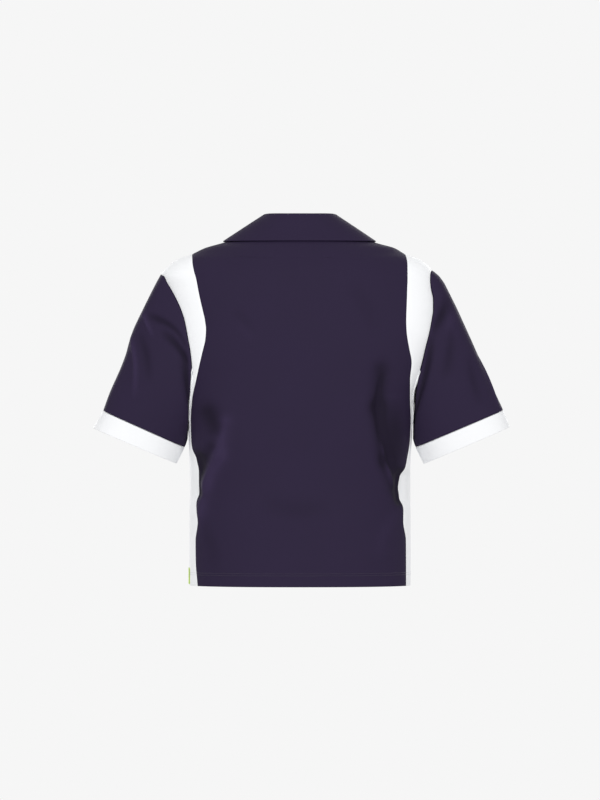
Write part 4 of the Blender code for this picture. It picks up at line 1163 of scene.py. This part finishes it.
def sleeveRings(side):
    start = sleeveStart(side)
    turnShares = loopShares(start)
    end = ringPoints(side, sleeve["cuffSeam"][side], turnShares)
    turns = turnShares * 2 * math.pi
    share = knots(sleeve["rows"])[:, None]
    swell = np.sin(math.pi * share)
    line = end[0] - start[0]
    out = unit(np.array((side * abs(line[2]), 0.0, abs(line[0]))))
    rings = start[None] * (1 - share[..., None]) + end[None] * share[..., None]
    top = np.maximum(np.cos(turns), 0.0) ** 2
    rings += out * (outline[side](share) * top)[..., None]
    rings[..., 1] += sleeve["fullness"] * swell * np.sin(turns)
    rounder = rings
    for _ in range(sleeve["roundPasses"]):
        rounder = (np.roll(rounder, 1, axis=1) + 2 * rounder + np.roll(rounder, -1, axis=1)) / 4
    rings = rings + (rounder - rings) * np.sin(math.pi * np.sqrt(share))[..., None]
    degrees = np.degrees(turns)
    hug = np.exp(-(((np.minimum(degrees, 360 - degrees) - sleeve["hugAngle"]) / sleeve["hugSpread"]) ** 2))
    tuck = sleeve["tuck"] * np.maximum(-np.cos(turns), 0.0) ** 4 * np.sin(math.pi * share**2)
    rings[..., 0] -= side * (sleeve["hug"][side] * hug * swell + tuck)
    clearance = sleeve["nearest"] + sleeve["clearance"] * np.minimum(share / sleeve["clearanceShare"], 1.0)
    least = bodyAcross(side, rings[..., 1], rings[..., 2]) + clearance
    low = rings[..., 2] <= sleeve["clearanceTop"]
    rings[..., 0] = np.where(low, side * np.maximum(side * rings[..., 0], least), rings[..., 0])
    here = np.stack(np.broadcast_arrays(degrees * sleeve["turnLength"], share * sleeve["length"]), axis=-1)
    lift = creaseRelief(here, sleeveCreases[side])
    lift -= sleeve["seamGroove"] * np.exp(-((degrees - 180.0) ** 2))
    return rings, lift


cuff = {
    "end": {
        wearerLeft: Ring(310.3, -277.5, 185.0, -330.9, 43.0),
        wearerRight: Ring(314.8, -276.0, 185.5, -331.3, 43.0),
    },
    "start": 0.02,
    "rows": 12,
    "cloth": 2.0,
    "bevel": 0.7,
    "flat": (0.29, 0.03),
}


def cuffRings(side):
    shares = loopShares(sleeveStart(side))
    top = ringPoints(side, sleeve["cuffSeam"][side], shares)
    end = ringPoints(side, cuff["end"][side], shares)
    share = (cuff["start"] + (1 - cuff["start"]) * knots(cuff["rows"]))[:, None, None]
    return top * (1 - share) + end * share


for side, word in sideWords.items():
    rings, lift = sleeveRings(side)
    piece, _ = makeCloth(f"{word}Sleeve", [rings], [lift], torso["cloth"], navyJersey, closed=True)
    dress(piece, f"sleeve_{word}", "navy_jersey", *panelCuts["sleeve" + word.capitalize()])
    rings = cuffRings(side)
    piece = plainCloth(f"{word}Cuff", rings, cuff["cloth"], whiteRib, closed=True, bevel=cuff["bevel"])
    dress(piece, f"cuff_{word}", "white_jersey", cuff["flat"], None)

# the line where the collar folds over, by stations from the centre back to the front end
CrestRow = namedtuple("CrestRow", "station across depth height")
crestRows = (
    CrestRow(0.0, 0.0, 47.0, 42.0),
    CrestRow(0.35, 20.5, 43.0, 42.0),
    CrestRow(0.7, 40.5, 28.0, 42.0),
    CrestRow(1.0, 51.0, 2.0, 41.0),
    CrestRow(1.3, 51.0, -23.0, 29.0),
    CrestRow(1.65, 37.0, -50.0, 1.0),
    CrestRow(2.0, 6.0, -72.0, -48.0),
)
LeafRow = namedtuple("LeafRow", "height across")
leafRows = (
    LeafRow(0.4, 112.0),
    LeafRow(-20.0, 107.0),
    LeafRow(-50.0, 95.5),
    LeafRow(-82.0, 77.5),
    LeafRow(-103.0, 61.0),
)
crest = [Column(crestRows, name) for name in ("across", "depth", "height")]
leafAcross = Column(leafRows, "across")
collar = {
    "backSteps": 44,
    "frontSteps": 48,
    "crestRadius": 3.0,
    "crestSteps": 11,
    "standSteps": 14,
    "leafSteps": 20,
    "lift": -0.25,
    "clearance": 1.7,
    "leafHeight": 0.4,
    "bow": 0.8,
    "frontClearance": 3.2,
    "frontFade": 14.0,  # how far above the neckline and behind the shoulder the leaf is let go
    "cloth": 1.6,
    "bevel": 0.5,
    "flat": (0.52, 0.10),
    "area": 0.045,
}


def collarLine(backHalf, frontHalf):
    back = spacedPoints(backHalf, np.linspace(0.0, 1.0, collar["backSteps"] + 1))
    front = spacedPoints(frontHalf, knots(collar["frontSteps"], start=False))
    return np.concatenate((back, front[1:]))


def collarHalf(side):
    # the neck seam, the crest and the leaf's edge, from the centre back to the front end
    half, end = torso["neckHalf"], crestRows[-1].across
    seams = neckline(backFace, 0.0, side * half), neckline(frontFace, side * half, side * end)
    neck = collarLine(*[formPoints(seam) for seam in seams])
    halves = []
    for first in (0.0, 1.0):
        stations = np.linspace(first, first + 1.0, torso["curveSteps"])
        halves.append(np.stack([read(stations) for read in crest], axis=1) * (side, 1, 1))
    top = collarLine(*halves)
    backEdge = pairUp(side * np.linspace(0.0, 90.0, torso["curveSteps"]), collar["leafHeight"])
    drop = leafRows[-1].height - collar["leafHeight"]
    heights = collar["leafHeight"] + drop * np.linspace(0.0, 1.0, torso["curveSteps"]) ** 2
    frontEdge = pairUp(angleAt(side, frontFace, leafAcross(heights), heights), heights)
    edges = [formPoints(edge) + collar["clearance"] * outwardAt(edge) for edge in (backEdge, frontEdge)]
    return neck, top, collarLine(*edges)


def keptInFront(points):
    # moved forward where the leaf would touch the front or the stand
    height = np.minimum(points[..., 2], torso["neckTop"])
    width = np.where(points[..., 0] >= 0, halfWidth[wearerLeft](height), halfWidth[wearerRight](height))
    power = squareness(height)
    share = np.maximum(1 - (abs(points[..., 0]) / width) ** power, 0.0) ** (1 / power)
    front = -halfDepth[frontFace](height) * share - collar["frontClearance"]
    above = np.clip(1 + (torso["neckTop"] - points[..., 2]) / collar["frontFade"], 0.0, 1.0)
    ahead = np.clip(-points[..., 1] / collar["frontFade"], 0.0, 1.0)
    moved = points.copy()
    moved[..., 1] += above * ahead * np.minimum(front - points[..., 1], 0.0)
    return moved


def squareTo(vectors, along):
    return unit(vectors - along * (vectors * along).sum(axis=-1, keepdims=True))


def collarGrid():
    halves = {side: collarHalf(side) for side in sideWords}
    neck, top, edge = (
        np.concatenate((halves[wearerLeft][i][::-1], halves[wearerRight][i][1:])) for i in range(3)
    )
    along = unit(np.gradient(top, axis=0))
    toEdge, toNeck = squareTo(edge - top, along), squareTo(neck - top, along)
    up, out = -unit(toEdge + toNeck), unit(toEdge - toNeck)
    rows = []
    for turn in np.linspace(math.pi, 0.0, collar["crestSteps"]):
        rows.append(top + collar["crestRadius"] * (math.cos(turn) * out + (math.sin(turn) - 1) * up))
    base = neck + collar["lift"] * unit(rows[0] - neck)
    stand = [base + (rows[0] - base) * share for share in knots(collar["standSteps"], end=False)[:-1]]
    leaf = []
    for share in knots(collar["leafSteps"], start=False)[1:-1]:
        bow = collar["bow"] * math.sin(math.pi * share)
        leaf.append(keptInFront(rows[-1] * (1 - share) + edge * share + bow * up))
    return np.stack((*stand, *rows, *leaf, edge), axis=1)


grid = collarGrid()
piece = plainCloth("foldedCollar", grid, collar["cloth"], navyJersey, offset=0.0, bevel=collar["bevel"])
dress(piece, "collar", "navy_jersey", collar["flat"], collar["area"], held="folded")


def onFront(across, height, out):
    # points and outward directions on the front, moved out
    places = placeAt(frontFace, np.asarray(across, float), np.asarray(height, float))
    normals = outwardAt(places)
    points = formPoints(places)
    return points + (out + bodyLift(points))[..., None] * normals, normals


def bandGrid(out):
    edge = placket["slotHalf"] + placket["lap"]
    spread = edge * (1 - 2 * knots(placket["columns"]))[None, :]
    bottom = placket["slotBottom"] - placket["tail"]
    heights = bottom + (neckHeight(spread, frontFace) - bottom) * knots(placket["rows"])[:, None]
    return onFront(*np.broadcast_arrays(spread, heights), out)[0]


bandFace = placket["lift"] + placket["cloth"]


def bandThreads():
    # two rows down the band, and the box at its foot
    inset = placket["slotHalf"] + placket["lap"] - placket["threadInset"]
    bottom = placket["slotBottom"] - placket["tail"] + placket["threadInset"]
    top = neckHeight(inset, frontFace) - placket["threadInset"]
    share = np.linspace(0.0, 1.0, placket["rows"])
    lines = [onFront(x + 0 * share, bottom + (top - bottom) * share, bandFace) for x in (inset, -inset)]
    for height in (bottom, bottom + placket["boxTop"]):
        lines.append(onFront(inset * (1 - 2 * share), height + 0 * share, bandFace))
    return makeStitches("placketStitches", lines, navyThread)


button = {
    "heights": (-92.0, -140.0, -188.0),
    "gap": 0.34,
    "underside": 1.0,
    "profile": (
        (0.0, 0.85), (3.1, 0.85), (3.5, 1.0), (3.9, 1.32), (4.3, 1.45), (4.8, 1.4), (5.25, 1.15), (5.5, 0.8),
        (5.5, -0.4), (5.3, -0.75), (4.9, -1.0), (0.0, -1.0),
    ),
    "steps": 48,
    "holeRadius": 0.8,
    "holeOffset": 1.25,
    "holeSides": 16,
    "pinLength": 10.0,
    "mergeDistance": 0.001,
    "sharpAngle": 35.0,
    "threadHeight": 0.95,
    "threads": {"pitch": 2.5, "length": 3.0, "radius": 0.34, "sides": 8, "sink": 0.1, "dip": 0.6},
}
buttonhole = {
    "halfLength": 7.6,
    "halfWidth": 1.5,
    "steps": 64,
    "beads": {"pitch": 0.55, "length": 0.6, "radius": 0.38, "sides": 6, "sink": 0.05, "dip": 0.05},
}


def buttonMesh():
    mesh = bpy.data.meshes.new("buttonOutline")
    points = [(x * mm, 0.0, z * mm) for x, z in button["profile"]]
    mesh.from_pydata(points, [(i, i + 1) for i in range(len(points) - 1)], [])
    body = bpy.data.objects.new("buttonBody", mesh)
    pins = bmesh.new()
    radius = button["holeRadius"] * mm
    for x in (-button["holeOffset"], button["holeOffset"]):
        for y in (-button["holeOffset"], button["holeOffset"]):
            bmesh.ops.create_cone(
                pins, cap_ends=True, segments=button["holeSides"], radius1=radius, radius2=radius,
                depth=button["pinLength"] * mm, matrix=Matrix.Translation((x * mm, y * mm, 0.0)),
            )
    pinMesh = bpy.data.meshes.new("buttonPins")
    pins.to_mesh(pinMesh)
    pins.free()
    cutter = bpy.data.objects.new("buttonPins", pinMesh)
    for item in (body, cutter):
        linked(item)
    turned = body.modifiers.new("turned", "SCREW")
    turned.steps = turned.render_steps = button["steps"]
    turned.use_merge_vertices = True
    turned.merge_threshold = button["mergeDistance"] * mm
    drilled = body.modifiers.new("drilled", "BOOLEAN")
    drilled.operation = "DIFFERENCE"
    drilled.object = cutter
    graph = bpy.context.evaluated_depsgraph_get()
    made = bpy.data.meshes.new_from_object(body.evaluated_get(graph))
    for item in (body, cutter):
        bpy.data.objects.remove(item, do_unlink=True)
    made.name = "fourHoleButton"
    made.materials.clear()
    made.materials.append(buttonResin)
    made.shade_smooth()
    made.set_sharp_from_angle(angle=math.radians(button["sharpAngle"]))
    return made


def makeButtons():
    mesh = buttonMesh()
    for number, height in enumerate(button["heights"], start=1):
        spots, normals = onFront([0.0], [height], bandFace + button["gap"] + button["underside"])
        spot, normal = spots[0], normals[0]
        tilt = math.atan2(normal[2], -normal[1])
        piece = linked(bpy.data.objects.new(f"placketButton{number}", mesh))
        piece.location = spot * mm
        piece.rotation_euler = (math.radians(90) - tilt, 0.0, 0.0)
        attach(piece, "root")
        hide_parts(f"button_{number}")
        reach = button["holeOffset"]
        lines = []
        down = unit(np.cross(normal, (1.0, 0.0, 0.0)))
        for side in (-reach, reach):
            middle = spot + button["threadHeight"] * normal + side * np.array((1.0, 0.0, 0.0))
            ends = np.array((middle - reach * down, middle + reach * down))
            lines.append((ends, np.array((normal, normal))))
        makeStitches(f"buttonThread{number}", lines, navyThread, button["threads"])


def buttonholeThreads():
    lines = []
    turns = np.linspace(0.0, 2 * math.pi, buttonhole["steps"] + 1)
    for height in button["heights"]:
        sideways = buttonhole["halfWidth"] * np.cos(turns)
        straight = buttonhole["halfLength"] - buttonhole["halfWidth"]
        upDown = buttonhole["halfWidth"] * np.sin(turns) + straight * np.clip(3 * np.sin(turns), -1.0, 1.0)
        lines.append(onFront(sideways, height + upDown, bandFace))
    return makeStitches("buttonholeStitches", lines, navyThread, buttonhole["beads"])


piece = plainCloth("placketOver", bandGrid(bandFace), placket["cloth"], navyJersey, bevel=placket["bevel"])
threads = [bandThreads(), buttonholeThreads()]
dress(piece, "placket_over", "navy_jersey", placket["flat"], None, threads=threads)
piece = plainCloth("placketUnder", bandGrid(-torso["cloth"] - placket["lift"]), torso["cloth"], navyJersey)
dress(piece, "placket_under", "navy_jersey", placket["flat"], None)
makeButtons()

# the small blank tab at the side
tab = {
    "bevel": 0.2,
    "lineSteps": 20,
    "depths": (20.0, -13.0),
    "bottom": -511.0,
    "height": 24.0,
    "columns": 14,
    "rows": 10,
    "cloth": 0.8,
    "gap": 0.34,
    "inset": 1.6,
    "flat": (0.033, 0.024),
    "threads": {"pitch": 2.0, "length": 1.5, "radius": 0.16, "sides": 6, "sink": 0.06, "dip": 0.2},
}


def onSide(depth, height, out):
    depths = np.where(depth >= 0, halfDepth[backFace](height), halfDepth[frontFace](height))
    turn = np.degrees(np.arccos((abs(depth) / depths) ** (squareness(height) / 2)))
    places = pairUp(np.where(depth >= 0, turn, 180 - turn), height)
    normals = outwardAt(places)
    return formPoints(places) + out * normals, normals


def tabLine(ends, out):
    start, end = np.array(ends)
    spots = start + (end - start) * np.linspace(0.0, 1.0, tab["lineSteps"])[:, None]
    return onSide(spots[:, 0], spots[:, 1], out)


out = tab["gap"] + tab["cloth"]
depth = tab["depths"][0] + (tab["depths"][1] - tab["depths"][0]) * knots(tab["columns"])[None, :]
height = tab["bottom"] + tab["height"] * knots(tab["rows"])[:, None]
grid, _ = onSide(*np.broadcast_arrays(depth, height), out)
piece = plainCloth("sideTab", grid, tab["cloth"], limeTab, bevel=tab["bevel"])
inset = tab["inset"]
back, front = tab["depths"][0] - inset, tab["depths"][1] + inset
low, high = tab["bottom"] + inset, tab["bottom"] + tab["height"] - inset
corners = ((back, low), (front, low), (front, high), (back, high), (back, low))
lines = [tabLine(ends, out) for ends in zip(corners, corners[1:])]
threads = [makeStitches("tabStitches", lines, limeThread, tab["threads"])]
dress(piece, "side_tab", "lime_jersey", tab["flat"], None, threads=threads)
print("pieces made")

# floor, light and camera, in metres
studio = {
    "pale": 0.922,  # what the camera sees of the floor and the backdrop
    "ambient": 0.68,  # what they give to the cloth
    "floorDrop": -0.9,
    "floorSize": 6.0,
    "target": (0.0, 0.0, -0.24),
}


def paleStrength(tree):
    seen = addNode(tree, "ShaderNodeLightPath").outputs["Is Camera Ray"]
    return mathNode(tree, "MULTIPLY_ADD", seen, studio["pale"] - studio["ambient"], studio["ambient"])


def makeFloor():
    material, tree, shader = newMaterial("paleFloor")
    tree.nodes.remove(shader)
    glow = addNode(tree, "ShaderNodeEmission", {"Strength": paleStrength(tree)})
    tree.links.new(glow.outputs[0], tree.nodes["Material Output"].inputs["Surface"])
    mesh = bpy.data.meshes.new("floor")
    half, low = studio["floorSize"] / 2, studio["floorDrop"]
    corners = [(-half, -half, low), (half, -half, low), (half, half, low), (-half, half, low)]
    mesh.from_pydata(corners, [], [(0, 1, 2, 3)])
    mesh.materials.append(material)
    linked(bpy.data.objects.new("floor", mesh))


makeFloor()
world = bpy.data.worlds.new("paleStudio")
bpy.context.scene.world = world
world.use_nodes = True
sky = world.node_tree.nodes["Background"].inputs
sky["Color"].default_value = (1.0, 1.0, 1.0, 1.0)
world.node_tree.links.new(paleStrength(world.node_tree), sky["Strength"])

SoftBox = namedtuple("SoftBox", "name place size power")
softBoxes = (
    SoftBox("keyBehind", (1.7, 4.2, 0.9), 2.0, 62.0),
    SoftBox("fillBehind", (-1.9, 4.2, 0.5), 2.0, 52.0),
    SoftBox("keyFront", (-1.7, -4.2, 0.9), 2.0, 62.0),
    SoftBox("fillFront", (1.9, -4.2, 0.5), 2.0, 52.0),
    SoftBox("overhead", (0.0, 0.0, 2.8), 2.0, 6.0),
)
target = Vector(studio["target"])
for box in softBoxes:
    light = bpy.data.lights.new(box.name, "AREA")
    light.size = box.size
    light.energy = box.power
    lamp = linked(bpy.data.objects.new(box.name, light))
    lamp.location = box.place
    lamp.rotation_euler = (target - Vector(box.place)).to_track_quat("-Z", "Y").to_euler()
    lamp.visible_camera = False

view = {"lens": 250.0, "sensor": 36.0, "clipEnd": 100.0, "place": (0.0, 8.333, -0.2355), "turn": (90, 0, 180)}
lens = bpy.data.cameras.new("productCamera")
lens.sensor_fit = "VERTICAL"
lens.sensor_height = view["sensor"]
lens.lens = view["lens"]
lens.clip_end = view["clipEnd"]
camera = linked(bpy.data.objects.new("productCamera", lens))
camera.location = view["place"]
camera.rotation_euler = [math.radians(turn) for turn in view["turn"]]
bpy.context.scene.camera = camera
bpy.context.scene.view_settings.view_transform = "Standard"
print("floor, light and camera made")
